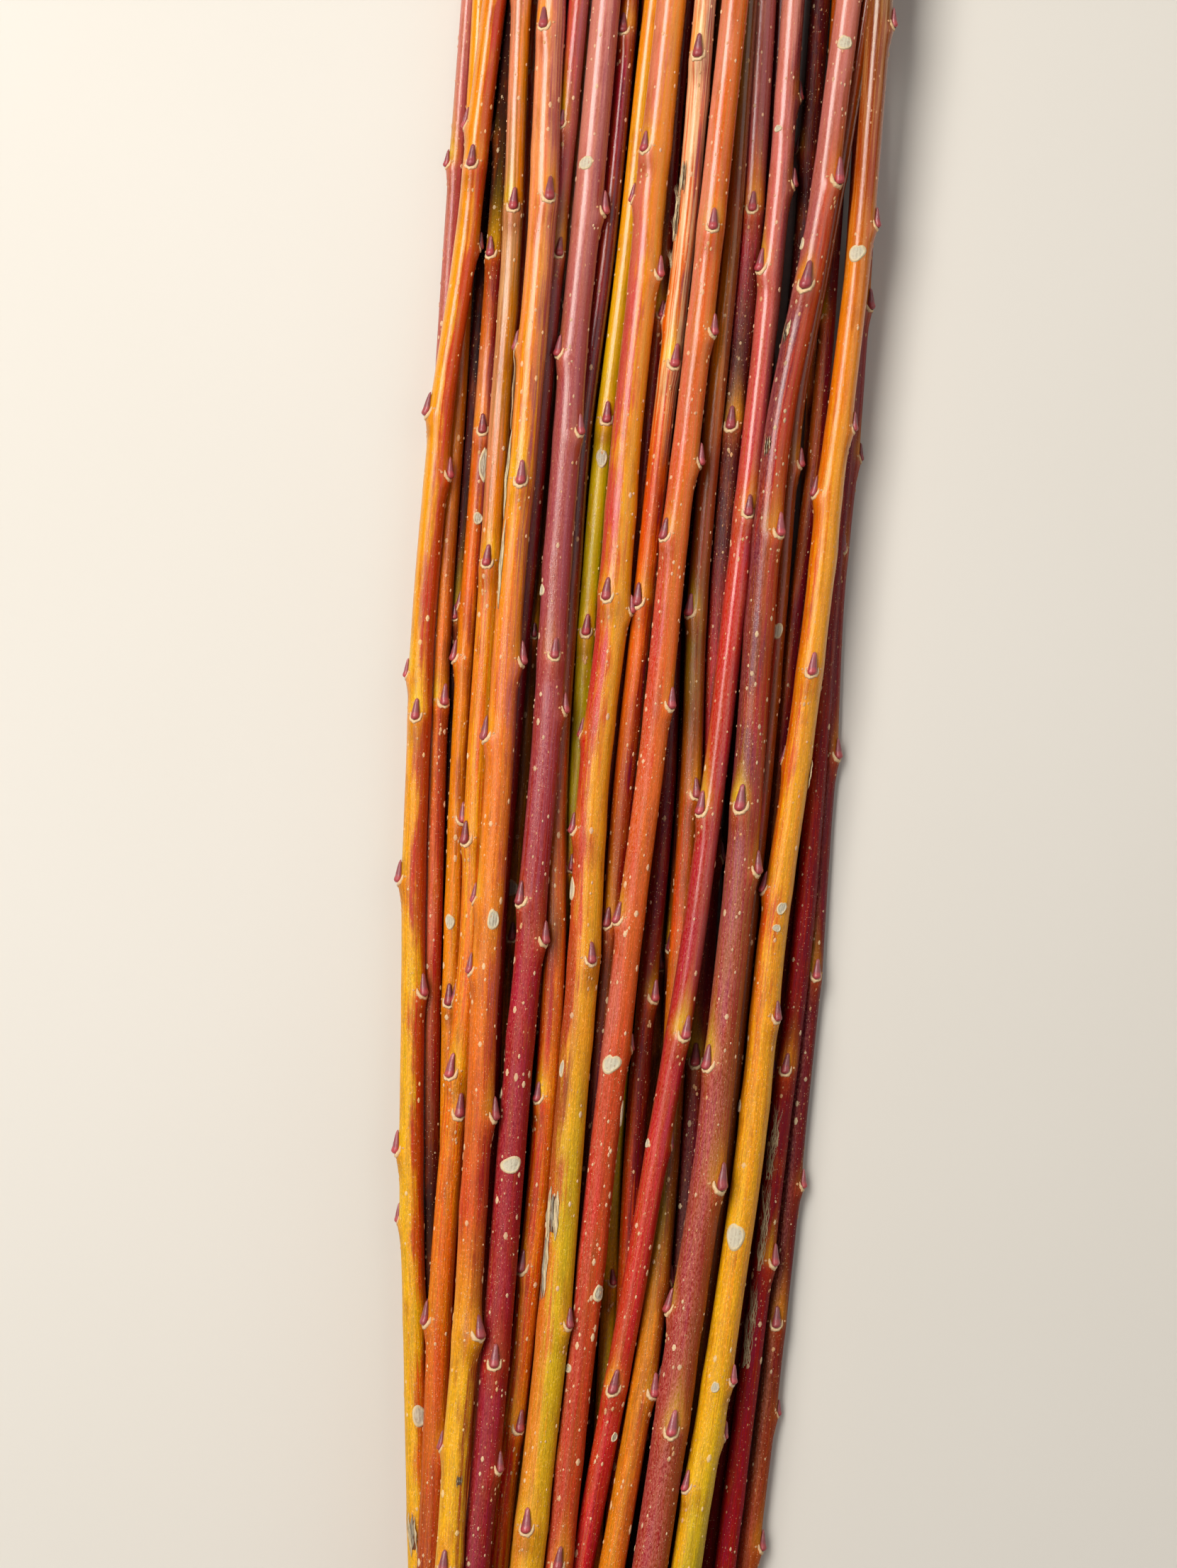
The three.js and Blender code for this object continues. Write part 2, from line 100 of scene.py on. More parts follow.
# Soft lights, in metres and watts: place, target, width and length, power, colour
WARM = (1.0, 0.97, 0.93)
NEUTRAL = (1.0, 0.98, 0.96)
LIGHTS = {
    "key": ((-0.37, 0.43, 0.68), (0, 0.08, 0), (0.42, 0.56), 7.1, WARM),
    "low_key": ((-0.37, -0.1, 0.68), (0, -0.05, 0), (0.42, 0.56), 1.95, WARM),
    "front": ((-0.5, -0.5, 0.7), (0, -0.05, 0), (0.4, 0.5), 1.2, WARM),
    "fill": ((0.85, 0.25, 0.95), (0, 0.05, 0), (1.2, 1.6), 5.0, NEUTRAL),
}

# Even light from all around: colour and strength
SKY = (0.95, 0.97, 1.0, 1.0)
SKY_STRENGTH = 0.07

# Half the side of the floor, in metres
FLOOR_HALF = 3.0

# Colours of the bark, the buds and the floor, as hex codes
YELLOW = 0xE8BC16
LEMON = 0xE2A408
GOLD = 0xE49614
HONEY = 0xDE8638
ORANGE = 0xD86820
EMBER = 0xC54818
SCARLET = 0xC23022
BRICK = 0xB43A14
GARNET = 0x94101C
CLARET = 0x8A2A34
CRIMSON = 0xA62C34
CORAL = 0xD06848
ROSE = 0xC65850
PINK = 0xC67C6C
BLUSH = 0xDA8664
MAUVE = 0x9C4E4C
DUSK = 0x984C50
PLUM = 0x6C2C34
MAROON = 0x68181E
WINE = 0x401416
RUST = 0x98421A
BROWN = 0x723C18
OLIVE = 0x8A6A14
LIME = 0xD4AA04
MOSS = 0xB49A0C
TAN = 0xD09C6A
CREAM = 0xECD4A6
SOOT = 0x26100F
GREY = 0xB3AA93
ASH = 0xCDC3AA
WOOD = 0xE2D3A4
PITH = 0xA98357
BUD_BASE = 0xAA3A42
BUD_MIDDLE = 0x823A44
BUD_POINT = 0xA6585C
FLOOR = 0xD9D4CB


@dataclass
class Look:
    """How one twig looks. A value is the same all along it, or given by place along Y, and then it changes
    smoothly between the places. Degrees run around the twig, from straight up to the right."""

    bark: str
    sun: object  # colour of the left side: partly the bark's own colour, partly painted light where the lamps fall
    shade: object  # colour of the right side: partly the bark's own colour, partly painted shade
    border: object = 0.0  # where the sides meet, from -1 at the left edge to 1 at the right
    streak: object = (BROWN, 0.12)  # threads in the bark: colour and amount
    pale: object = 0.0  # waxy bloom
    matt: object = 0.0  # waxy bloom, laid by the bark shader on the left flank only: partly real bloom, partly painted sheen
    dots: int = 45
    flame: float = 0.85  # golden patch above each bud
    size: float = 1.0  # size of its buds
    ribs: float = 1.0
    buds: tuple = ()  # (place, degrees)
    scars: tuple = ()  # (place, degrees, width, length)
    lumps: tuple = ()  # (place, degrees, width, length, height)
    peels: tuple = ()  # torn bark (place, degrees, width, length)
    fibres: tuple = ()  # (place, degrees, length)


LOOKS = {
    "twig_top_1": Look(
        "yellow", sun={-60: LEMON, 0: GOLD, 90: GOLD, 158: HONEY},
        shade={-158: ORANGE, -110: EMBER, -28: BRICK, 30: BRICK, 90: EMBER, 158: BRICK},
        border={-158: 0.25, -60: 0.1, 20: -0.05, 158: 0.0}, scars=[(-128, 20, 3.1, 3.8)],
        lumps=[(-150, -25, 2.0, 6.0, 0.4)], peels=[(-152, -25, 1.8, 9.0)]),
    "twig_top_2": Look(
        "orange", sun={-158: RUST, -110: ORANGE, -56: ORANGE, 0: HONEY, 50: BLUSH, 100: TAN, 158: BLUSH},
        shade={-158: BRICK, -90: ORANGE, 0: ORANGE, 30: HONEY}, border=0.2,
        streak={-158: (EMBER, 0.3), -40: (GOLD, 0.6), 30: (GOLD, 0.7), 60: (BROWN, 0.45)}, dots=90,
        ribs=2.2),
    # Its plum left side from 10 to 90 is partly its own dark colour, partly a painted shadow cast by
    # twig_top_5
    "twig_top_3": Look(
        "mauve", sun={-158: MAUVE, -28: DUSK, 10: PLUM, 90: PLUM, 110: MAUVE, 158: PINK},
        shade={-60: RUST, 0: MAUVE, 50: BRICK, 90: BRICK, 120: CORAL, 158: PINK},
        border={-158: 0.35, -40: 0.3, 60: -0.15, 100: -0.1, 158: 0.2},
        streak={-158: (MAUVE, 0.3), -20: (OLIVE, 0.3), 60: (RUST, 0.3), 110: (MAUVE, 0.3),
                158: (ROSE, 0.3)}, pale={-158: 0.55, -40: 0.5, 0: 0.2, 158: 0.35}, dots=150, flame=1.0,
        size=1.15, scars=[(149, 5, 3.1, 2.6), (123, 80, 1.8, 2.6), (109, -80, 1.8, 2.6)],
        peels=[(91, -50, 1.6, 5.1), (68, -40, 1.6, 4.3)]),
    "twig_top_4": Look(
        "yellow", sun={-90: LEMON, -28: EMBER, 70: ORANGE, 105: HONEY, 125: RUST, 158: BROWN},
        shade={-158: MOSS, -140: LIME, -110: GOLD, 50: GOLD, 90: HONEY, 120: RUST, 158: BROWN},
        border={-158: -0.45, -60: -0.3, 60: -0.4, 158: -0.3}, flame=0.3, size=0.95,
        streak={-158: (LEMON, 0.3), 0: (GOLD, 0.3), 90: (BLUSH, 0.3), 158: (TAN, 0.3)},
        scars=[(107, -15, 3.3, 3.3), (-91, -15, 3.7, 4.9), (-121, -5, 1.6, 2.0), (-25, 20, 1.9, 2.4),
               (-29, 10, 1.5, 1.6), (-65, -80, 1.1, 2.3)], peels=[(2, 75, 1.0, 5.7)]),
    "twig_top_5": Look(
        "red", sun={-158: SCARLET, -80: ROSE, -28: CRIMSON, 30: SCARLET, 90: ROSE, 158: PINK},
        shade={-158: GARNET, -115: SCARLET, -60: CRIMSON, -28: MAUVE, 30: CRIMSON, 90: MAUVE, 158: PLUM},
        border={-158: 0.1, 30: 0.5, 158: 0.3}, pale={-158: 0.1, 0: 0.3}, dots=90, flame=0.9, matt=-0.25,
        scars=[(133, -35, 1.5, 1.5), (-72, -60, 1.1, 1.7), (-131, 40, 1.2, 2.0)]),
    "twig_top_6": Look(
        "orange", sun={-110: BRICK, -85: ROSE, -50: PINK, 0: CORAL, 30: ROSE, 60: CORAL, 110: BLUSH},
        shade={-158: BRICK, -60: EMBER, -20: ORANGE}, border={-158: -0.1, -60: -0.35, 0: -0.15},
        pale={-158: 0.2, -50: 0.45, 158: 0.35},
        streak={-158: (RUST, 0.3), -60: (MAUVE, 0.5), 0: (ROSE, 0.4), 60: (BROWN, 0.2)}, dots=190, ribs=2.2,
        scars=[(-56, -15, 3.5, 3.8), (-102, 45, 2.5, 3.1), (-117, -55, 1.4, 1.8), (-66, 78, 1.6, 5.0)]),
    "twig_top_7": Look(
        "olive", sun={-158: GOLD, -100: BLUSH, -60: RUST, -28: EMBER, 10: ROSE, 90: ROSE, 158: BLUSH},
        shade={-158: LEMON, -115: LIME, -80: LIME, -50: GOLD, 60: GOLD, 100: HONEY},
        border={-158: -0.1, -90: -0.45, -20: -0.3, 20: -0.15}, pale=0.2, dots=100, flame=0.8,
        buds=[(36, 75)], scars=[(-21, -70, 1.9, 4.1), (-57, -50, 1.1, 3.0)],
        peels=[(-86, -38, 3.0, 11.0), (-96, -55, 1.6, 15.0)]),
    "twig_top_8": Look(
        "mauve",
        sun={-158: CLARET, -110: GARNET, -60: GARNET, -40: CRIMSON, -28: DUSK, 60: DUSK, 90: MAUVE,
             130: PINK},
        shade={-158: CLARET, -110: GARNET, -60: GARNET, -28: DUSK, 60: DUSK, 110: MAUVE}, border=0.2,
        streak={-158: (PLUM, 0.5), -90: (GARNET, 0.7), -30: (GARNET, 0.5), 40: (CLARET, 0.4),
                158: (PINK, 0.3)}, pale={-158: 0.15, -40: 0.2, 60: 0.35}, dots=150, flame=0.2, ribs=1.3,
        scars=[(125, -25, 3.0, 2.4), (39, -65, 1.5, 2.4), (-62, -80, 1.1, 2.0), (-76, 5, 4.2, 3.0)]),
    "twig_top_9": Look(
        "orange", sun={-120: LEMON, -105: GOLD, -85: EMBER, -28: HONEY, 20: BLUSH, 60: HONEY, 158: BLUSH},
        shade={-158: MAUVE, -100: RUST, -75: MAUVE, -28: PINK, 60: MAUVE},
        border={-158: 0.6, -110: 0.3, -80: 0.3, -30: 0.55, 20: 0.6, 60: 0.35, 158: 0.3},
        streak={-158: (LEMON, 0.2), -118: (TAN, 0.6), -90: (EMBER, 0.3), -60: (EMBER, 0.4),
                0: (ORANGE, 0.45), 60: (GOLD, 0.6), 158: (BLUSH, 0.5)}, dots=90, flame=1.0,
        lumps=[(-110, 35, 4.0, 7.0, 0.9)], scars=[(-27, 20, 2.4, 3.6)],
        peels=[(-138, 20, 1.4, 2.3), (80, -82, 0.6, 18.0), (62, -66, 0.6, 18.0), (44, -50, 0.6, 18.0)]),
    "twig_edge_1": Look(
        "mauve", sun={60: MAUVE, 158: PINK}, shade=MAUVE, pale=0.3, dots=70, size=0.85, matt=0.2),
    "twig_edge_2": Look(
        "maroon", sun={-158: EMBER, -135: BROWN, -90: WINE, -50: PLUM, 0: CLARET, 30: MAUVE, 158: ROSE},
        shade={-158: RUST, -110: MAROON, 0: MAROON, 158: MAUVE}, pale=0.3, dots=50, size=0.9,
        streak={-158: (EMBER, 0.2), -100: (MAROON, 0.5), 158: (CRIMSON, 0.4)}, buds=[(49, 10)]),
    # twig_shaded_1's wine and soot are partly its own dark maroon, partly painted shade deep in the pile
    "twig_shaded_1": Look("maroon", sun=WINE, shade=SOOT, dots=30, size=0.8, matt=0.6, buds=[(35, -10)]),
    "twig_shaded_2": Look("maroon", sun=WINE, shade=WINE, dots=30, size=0.8, matt=0.7, buds=[(20, 10)]),
    "twig_shaded_3": Look(
        "maroon", sun={-40: MAROON, 60: RUST},
        shade=MAROON, dots=50, size=0.85, matt=0.3, buds=[(-58, 0)], peels=[(-110, 55, 1.1, 11.0)]),
    "twig_shaded_4": Look("red", sun=RUST, shade=MAROON, dots=30, size=0.8, matt=0.5, buds=[(96, -60)]),
    "twig_shaded_5": Look(
        "tan", sun={-30: HONEY, 20: BROWN, 158: HONEY},
        shade=BROWN, dots=30, size=0.8, scars=[(-21, -10, 2.3, 2.9)], buds=[(31, 20)]),
    "twig_shaded_6": Look("red", sun=RUST, shade=MAROON, dots=30, size=0.8, matt=0.3),
    "twig_middle_1": Look(
        "maroon", sun={-158: GARNET, -80: MAROON, -28: MAUVE, 40: RUST},
        shade={-158: GARNET, -60: MAROON}, dots=60, size=0.95, matt=0.2,
        streak={-158: (GARNET, 0.7), 0: (GARNET, 0.5), 158: (CRIMSON, 0.4)},
        fibres=[(-70, -22, 12.0), (-76, -28, 10.0), (-86, -22, 12.0), (-93, -20, 12.0), (-106, -25, 12.0),
                (-113, -30, 12.0)]),
    "twig_middle_2": Look(
        "olive", sun={-158: BROWN, -85: SOOT, -28: PINK, 29: BLUSH, 60: HONEY, 158: GOLD},
        shade={-158: BROWN, -85: SOOT, -40: MAUVE, 30: RUST, 158: HONEY}, border=0.1, dots=60, size=0.9,
        matt={-60: 0.4, 100: 0.0}),
    "twig_middle_3": Look(
        "red", sun={-85: EMBER, -28: MAROON, 60: MAROON, 158: RUST},
        shade=MAROON, dots=60, size=0.9, matt=0.3),
    "twig_middle_4": Look(
        "olive", sun={-60: LEMON, 0: OLIVE, 60: BROWN, 158: OLIVE},
        shade={-60: LIME, 0: OLIVE}, dots=30, size=0.8, buds=[(-100, 20)]),
    # Its wine and soot stretches, from 50 to 87 and towards the butt, are painted shade, made matt so they
    # don't shine
    "twig_middle_5": Look(
        "mauve",
        sun={-158: PLUM, -85: WINE, -28: MAUVE, 25: MAUVE, 50: WINE, 87: WINE, 110: CRIMSON, 158: PINK},
        shade={-158: SOOT, -28: PLUM, 50: WINE, 87: WINE, 158: MAUVE}, border={60: 0.2, 158: 0.0}, pale=0.1,
        dots=110, matt={-60: 0.3, 60: 0.5, 100: 0.5, 130: 0.0}),
    "twig_middle_6": Look(
        "orange",
        sun={-120: HONEY, -85: OLIVE, -28: CORAL, 0: RUST, 29: OLIVE, 45: RUST, 65: RUST, 87: HONEY,
             120: RUST, 158: OLIVE},
        shade={-158: ORANGE, -85: BROWN, -28: RUST, 29: BROWN, 70: RUST, 120: BROWN}, border=0.2,
        streak={-158: (BROWN, 0.3), 158: (BROWN, 0.5)}, dots=70, ribs=2.0, buds=[(-1, 25)]),
    "twig_middle_7": Look(
        "tan",
        sun={-158: RUST, -60: WINE, -28: BROWN, 0: RUST, 30: ORANGE, 60: EMBER, 90: ORANGE, 158: BLUSH},
        shade={-158: MAROON, 60: PLUM, 158: MAUVE}, border={-158: 0.2, 60: 0.35, 158: 0.4},
        streak={-158: (RUST, 0.3), 60: (EMBER, 0.3), 80: (CREAM, 0.5)}, dots=70, ribs=1.6,
        buds=[(-27, -25)], peels=[(114, -60, 1.6, 9.3), (122, -40, 1.2, 7.0)],
        fibres=[(112, -75, 5.0), (118, -70, 6.0), (106, -80, 4.0)]),
    "twig_middle_8": Look(
        "olive", sun={-158: LIME, -60: OLIVE, 0: MOSS, 40: MOSS, 75: LIME, 110: GOLD, 158: HONEY},
        shade={-60: OLIVE, 0: MOSS, 60: MOSS, 158: GOLD}, dots=40, size=0.9, scars=[(66, 0, 2.2, 3.5)],
        buds=[(-16, 20)]),
    "twig_middle_9": Look(
        "red",
        sun={-158: SCARLET, -110: EMBER, -60: SCARLET, -28: BROWN, 0: EMBER, 60: MAROON, 158: CRIMSON},
        shade={-158: EMBER, -60: ORANGE, 0: RUST, 60: WINE, 158: MAROON}, border=0.2,
        streak={-158: (GOLD, 0.4), -100: (GOLD, 0.3), 0: (EMBER, 0.2), 158: (RUST, 0.3)}, dots=90,
        size=0.95, scars=[(154, -45, 1.6, 2.0)]),
    "twig_middle_10": Look(
        "red", sun={-85: RUST, -28: BLUSH, 29: RUST, 87: MAUVE, 158: ROSE},
        shade={-158: MAROON, -28: MAUVE, 29: MAROON, 158: MAUVE}, dots=60, size=0.95, matt=0.2,
        buds=[(134, -30)]),
    "twig_middle_11": Look(
        "orange", sun={-158: ORANGE, 0: HONEY, 60: ORANGE},
        shade=RUST, border=0.4, dots=50, size=0.85, buds=[(-5, -30)]),
    # Its top end, from about 105 up, is soot and matt: painted shade for the dark gap between twig_top_1
    # and twig_top_2
    "twig_middle_12": Look(
        "orange", sun={-158: ORANGE, -60: HONEY, 0: HONEY, 50: ORANGE, 80: BLUSH, 105: RUST, 120: SOOT},
        shade={-158: RUST, -60: EMBER, 20: RUST, 60: MAUVE, 105: MAROON, 125: SOOT},
        border={-158: 0.3, 0: 0.2, 158: 0.3}, dots=80, flame=0.4, size=0.95, matt={85: 0.0, 115: 1.4},
        scars=[(-28, -20, 1.9, 2.8), (54, 15, 1.9, 2.2), (65, 25, 1.6, 7.0)]),
    "twig_middle_13": Look(
        "red", sun={-158: OLIVE, -60: RUST, 0: SCARLET, 60: RUST},
        shade={-158: BROWN, 158: RUST}, dots=60, size=0.9, scars=[(31, 0, 2.2, 2.8)]),
    "twig_under_1": Look("orange", sun=RUST, shade=BROWN),
    "twig_under_2": Look("maroon", sun=MAROON, shade=PLUM),
    "twig_under_3": Look("red", sun=RUST, shade=MAROON),
    "twig_under_4": Look("mauve", sun=MAUVE, shade=PLUM),
    "twig_under_5": Look("maroon", sun=MAROON, shade=PLUM),
    "twig_under_6": Look("yellow", sun=HONEY, shade=BROWN),
    "twig_under_7": Look("red", sun=RUST, shade=MAROON),
    "twig_under_8": Look("maroon", sun=MAROON, shade=PLUM),
    # The valley twigs lie in the gaps of the pile, painted dark and matt: painted shade for the deep gaps
    "twig_valley_1": Look("maroon", sun=SOOT, shade=WINE, matt=1.0),
    "twig_valley_2": Look("orange", sun=WINE, shade=BROWN, matt=1.0),
    "twig_valley_3": Look("red", sun=WINE, shade=MAROON, matt=1.0),
    "twig_valley_4": Look("maroon", sun=SOOT, shade=WINE, matt=1.0),
    "twig_valley_5": Look("mauve", sun=WINE, shade=SOOT, matt=1.0),
}

# Gloss of each bark: roughness at the tip, how much rougher it is at the butt, and its clear wax
BARKS = {
    "yellow": (0.3, 0.24, 0.9),
    "orange": (0.3, 0.24, 0.9),
    "red": (0.3, 0.24, 0.95),
    "mauve": (0.32, 0.26, 0.95),
    "maroon": (0.36, 0.26, 0.35),
    "olive": (0.3, 0.24, 0.9),
    "tan": (0.36, 0.24, 0.6),
}

# Points around a twig, and how far apart its rings are between the buds and near one
DETAIL = {
    "top": (36, 2.4, 0.6),
    "middle": (28, 2.6, 0.7),
    "edge": (28, 2.6, 0.7),
    "shaded": (22, 2.8, 0.8),
    "under": (18, 4.0, 1.0),
    "valley": (16, 4.0, 1.0),
}

# Rows and columns of a bud's mesh, then rows and columns of its leaf scar's
SEEN_BUD = (18, 14, 31, 8)
SPARE_BUD = (12, 10, 21, 6)

# Colours of a bud, from its heel at 0 to its tip at 1
BUD_COLOURS = {0.0: BUD_BASE, 0.28: BUD_BASE, 0.4: BUD_MIDDLE, 0.75: BUD_MIDDLE, 1.0: BUD_POINT}

# A cut end's rings from the rim inwards: share of the radius, how far it stands out, and its colour
CUT_RINGS = [
    (1.0, 0.0, BROWN), (0.93, 0.02, OLIVE), (0.91, 0.06, WOOD), (0.6, 0.02, WOOD), (0.28, 0.0, CREAM),
    (0.22, -0.03, PITH), (0.18, -0.35, PITH), (0.06, -0.4, PITH),
]

# Cork, scars, cuts and fibres: colour of their dark grain, how fine it is, roughness, and depth in metres
ROUGH = {
    "cork": (TAN, (5.0, 3.0, 5.0), 0.65, 0.00008),
    "scar": (GREY, (4.0, 0.9, 4.0), 0.7, 0.00012),
    "wood": (TAN, (5.0, 0.6, 5.0), 0.7, 0.0001),
    "pith": (BROWN, (4.0, 4.0, 4.0), 0.9, 0.00015),
    "fibre": (BROWN, (6.0, 0.5, 6.0), 0.75, 0.0001),
}

# Repeats per millimetre of each pattern of the bark: in both directions across the twig, then along it
PATTERNS = {
    "lines": (1.3, 1.3, 0.05),
    "threads": (2.4, 2.4, 0.05),
    "hairs": (5.0, 5.0, 0.14),
    "grit": (4.0, 4.0, 1.5),
    "clouds": (0.45, 0.45, 0.1),
    "patches": (0.3, 0.3, 0.09),
    "flecks": (2.6, 2.6, 1.7),
    "dots": (1.0, 1.0, 0.55),
    "dust": (2.6, 2.6, 2.0),
}

# What the materials read at each point, with how many numbers each mark has
MARK_SIZES = {"sun": 4, "shade": 4, "streak": 4, "grain": 3, "cast": 3}
FINISHES = ["bark", "bud", "cork", "scar", "wood", "pith", "fibre"]


def linear(code):
    """A hex colour as the linear red, green and blue that the shaders take."""
    parts = [(code >> shift & 255) / 255 for shift in (16, 8, 0)]
    return np.array([p / 12.92 if p <= 0.04045 else ((p + 0.055) / 1.055) ** 2.4 for p in parts])


def smooth_line(places, values):
    """A smooth curve through values at places, as a function of an array of places."""
    places = np.asarray(places, float)
    values = np.asarray(values, float)
    slopes = np.gradient(values, places)

    def at(y):
        k = np.clip(np.searchsorted(places, y) - 1, 0, len(places) - 2)
        span = places[k + 1] - places[k]
        t = np.clip((y - places[k]) / span, 0, 1)
        rise = values[k + 1] - values[k]
        start = t * (1 - t) ** 2 * slopes[k] * span
        end = t * t * (t - 1) * slopes[k + 1] * span
        return values[k] + t * t * (3 - 2 * t) * rise + start + end

    return at


def value_at(values, y):
    """A number or a row of numbers, or such values by place, at the places y."""
    if not isinstance(values, dict):
        values = {0: values}
    places = list(values)
    rows = np.array(list(values.values()))
    if rows.ndim == 1:
        return np.interp(y, places, rows)
    return np.stack([np.interp(y, places, column) for column in rows.T], axis=-1)


def colour_at(codes, y):
    """A hex colour, or hex colours by place, at the places y."""
    if not isinstance(codes, dict):
        codes = {0: codes}
    return value_at({place: linear(code) for place, code in codes.items()}, y)


def streak_at(streak, y):
    """The four numbers of a streak at the places y: its colour and its amount."""
    if not isinstance(streak, dict):
        streak = {0: streak}
    return value_at({place: (*linear(code), amount) for place, (code, amount) in streak.items()}, y)


def blend(low, high, share):
    """Mix of two colours, or arrays of colours, by an array of shares."""
    share = np.asarray(share)[..., None]
    return low + (high - low) * share


def tint(sides, code, share):
    """The colours of both sides, mixed with one more colour by an array of shares."""
    return [blend(side, linear(code), share) for side in sides]


def hump(x, width):
    """A smooth bump: 1 at 0, and near 0 beyond twice its width."""
    return np.exp(-((x / width) ** 2))


def opaque(colour):
    """Colours with an alpha of 1."""
    return np.concatenate([colour, np.ones(np.shape(colour)[:-1] + (1,))], axis=-1)


def turned(angle):
    """The same turn, brought into half a turn either way."""
    return (angle + math.pi) % (2 * math.pi) - math.pi


def around(count):
    """A row of angles all the way around."""
    return np.linspace(0, 2 * math.pi, count, endpoint=False)[None, :]


def age(y):
    """0 at the tip of a twig and 1 at its butt."""
    return (HALF_LENGTH - y) / (2 * HALF_LENGTH)


class Bud:
    """A bud at a place along Y and a turn around its twig, in radians from straight up."""

    def __init__(self, y, turn, size, rng, grid=SEEN_BUD):
        self.grid = grid
        self.y = y
        self.turn = turn
        self.size = size
        self.lean = rng.uniform(-0.25, 0.25)
        self.flame_side = rng.choice([-1.0, 1.0])
        self.flame_length = rng.uniform(3.0, 7.0)
        self.tone = rng.uniform(0.0, 1.0)


class Twig:
    """One twig of the frame, with its bark as a surface over a turn around it and a place along Y."""

    def __init__(self, name, index):
        self.name = name
        self.look = LOOKS[name]
        self.layer = name.split("_")[1]
        self.rng = np.random.default_rng(100 + index)
        self.offset = np.array([17.3, 5.1, 29.7]) * index
        self.read_rings()
        self.read_buds()
        self.ripples = [
            (k, self.rng.uniform(0, 2 * math.pi), self.rng.uniform(-0.02, 0.02), self.rng.uniform(0.5, 1.0))
            for k in range(3, 10)
        ]
        self.sways = [
            (self.rng.uniform(0.04, 0.16), self.rng.uniform(0, 2 * math.pi)) for _ in range(5)
        ]

    def read_rings(self):
        """Middle and radius of each ring, from the two lowest corners of the frame's solid there."""
        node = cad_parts[self.name]
        corners = np.array([v.co[:] for v in node.data.vertices]) / MM
        self.corners = np.unique(np.round(corners, 3), axis=0)
        sides = PLAIN_RING_SIDES if self.layer in ("under", "valley") else RING_SIDES
        ys = self.corners[:, 1]
        count = round(2 * HALF_LENGTH / RING_STEP)
        places = [ys.min()] + [-HALF_LENGTH + RING_STEP * k for k in range(1, count)] + [ys.max()]
        rings = []
        for place in places:
            ring = self.corners[np.abs(ys - place) < 0.01]
            low = ring[np.argsort(ring[:, 2])[:2]]
            radius = abs(low[0, 0] - low[1, 0]) / 2 / math.sin(math.pi / sides)
            rings.append((low[:, 0].mean(), low[:, 2].mean() + radius * math.cos(math.pi / sides), radius))
        self.start = places[0]
        self.end = places[-1]
        self.rings = np.array([(place, *ring) for place, ring in zip(places, rings)])
        self.radius = smooth_line(places, self.rings[:, 3])

    def straight(self, y):
        """X and Z of the middle, and the radius, at places along Y, straight from ring to ring."""
        return [np.interp(y, self.rings[:, 0], self.rings[:, k]) for k in (1, 2, 3)]

    def read_buds(self):
        """The buds, from the corners that stand highest over the bark."""
        x, z, radius = self.straight(self.corners[:, 1])
        dx = self.corners[:, 0] - x
        dz = self.corners[:, 2] - z
        rise = np.hypot(dx, dz) - radius
        self.buds = []
        for k in np.flatnonzero(rise > CREST_TEST):
            size = self.look.size * self.rng.uniform(0.9, 1.08)
            self.buds.append(Bud(self.corners[k, 1], math.atan2(dx[k], dz[k]), size, self.rng))
        for y, degrees in self.look.buds:
            size = self.look.size * self.rng.uniform(0.8, 0.9)
            self.buds.append(Bud(y, math.radians(degrees), size, self.rng))

    def reach(self, place):
        """Distance of a place in space from the bark, below zero inside it."""
        x, z, radius = self.straight(place[1])
        return math.hypot(place[0] - x, place[2] - z) - radius

    def has_room(self, y, turn, others):
        """Whether a bud there clears the floor and every other twig."""
        for along in (-BUD_HEEL, 0.0, 0.8 * BUD_TIP):
            x, z, radius = self.straight(y + along)
            high = radius + BUD_RISE * (0.7 if along else 1.0)
            place = (x + high * math.sin(turn), y + along, z + high * math.cos(turn))
            if place[2] < 0.1 or any(other.reach(place) < 0.1 for other in others):
                return False
        return True

    def add_spare_buds(self, twigs):
        """Buds on the sides that face away from the photograph, two fifths of a turn apart."""
        others = [twig for twig in twigs if twig is not self]
        hidden = self.layer in ("under", "valley")
        y = self.start + 10.0
        turn = self.rng.uniform(0, 2 * math.pi)
        while y < self.end - 8.0:
            free = all(abs(y - bud.y) > 7.0 for bud in self.buds)
            if free and (hidden or math.cos(turn) < -0.1) and self.has_room(y, turn, others):
                size = self.look.size * self.rng.uniform(0.8, 0.95)
                self.buds.append(Bud(y, turned(turn), size, self.rng, SPARE_BUD))
            y += self.rng.uniform(16.0, 26.0)
            turn += BUD_TURN + self.rng.uniform(-0.2, 0.2)

    def make_kinks(self):
        """The middle line, smooth through the rings, with a slight zigzag from bud to bud."""
        places = self.rings[:, 0]
        smooth_x = smooth_line(places, self.rings[:, 1])
        smooth_z = smooth_line(places, self.rings[:, 2])
        buds = sorted(self.buds, key=lambda bud: bud.y)
        at = [self.start] + [bud.y for bud in buds] + [self.end]
        aside = [0.0] + [KINK * math.sin(bud.turn) for bud in buds] + [0.0]
        up = [0.0] + [KINK * math.cos(bud.turn) for bud in buds] + [0.0]
        self.middle_x = lambda y: smooth_x(y) + np.interp(y, at, aside)
        self.middle_z = lambda y: smooth_z(y) + np.interp(y, at, up)

    def across(self, turn, y, degrees):
        """Millimetres around the bark to a turn, from a line at so many degrees."""
        return turned(turn - math.radians(degrees)) * self.radius(y)

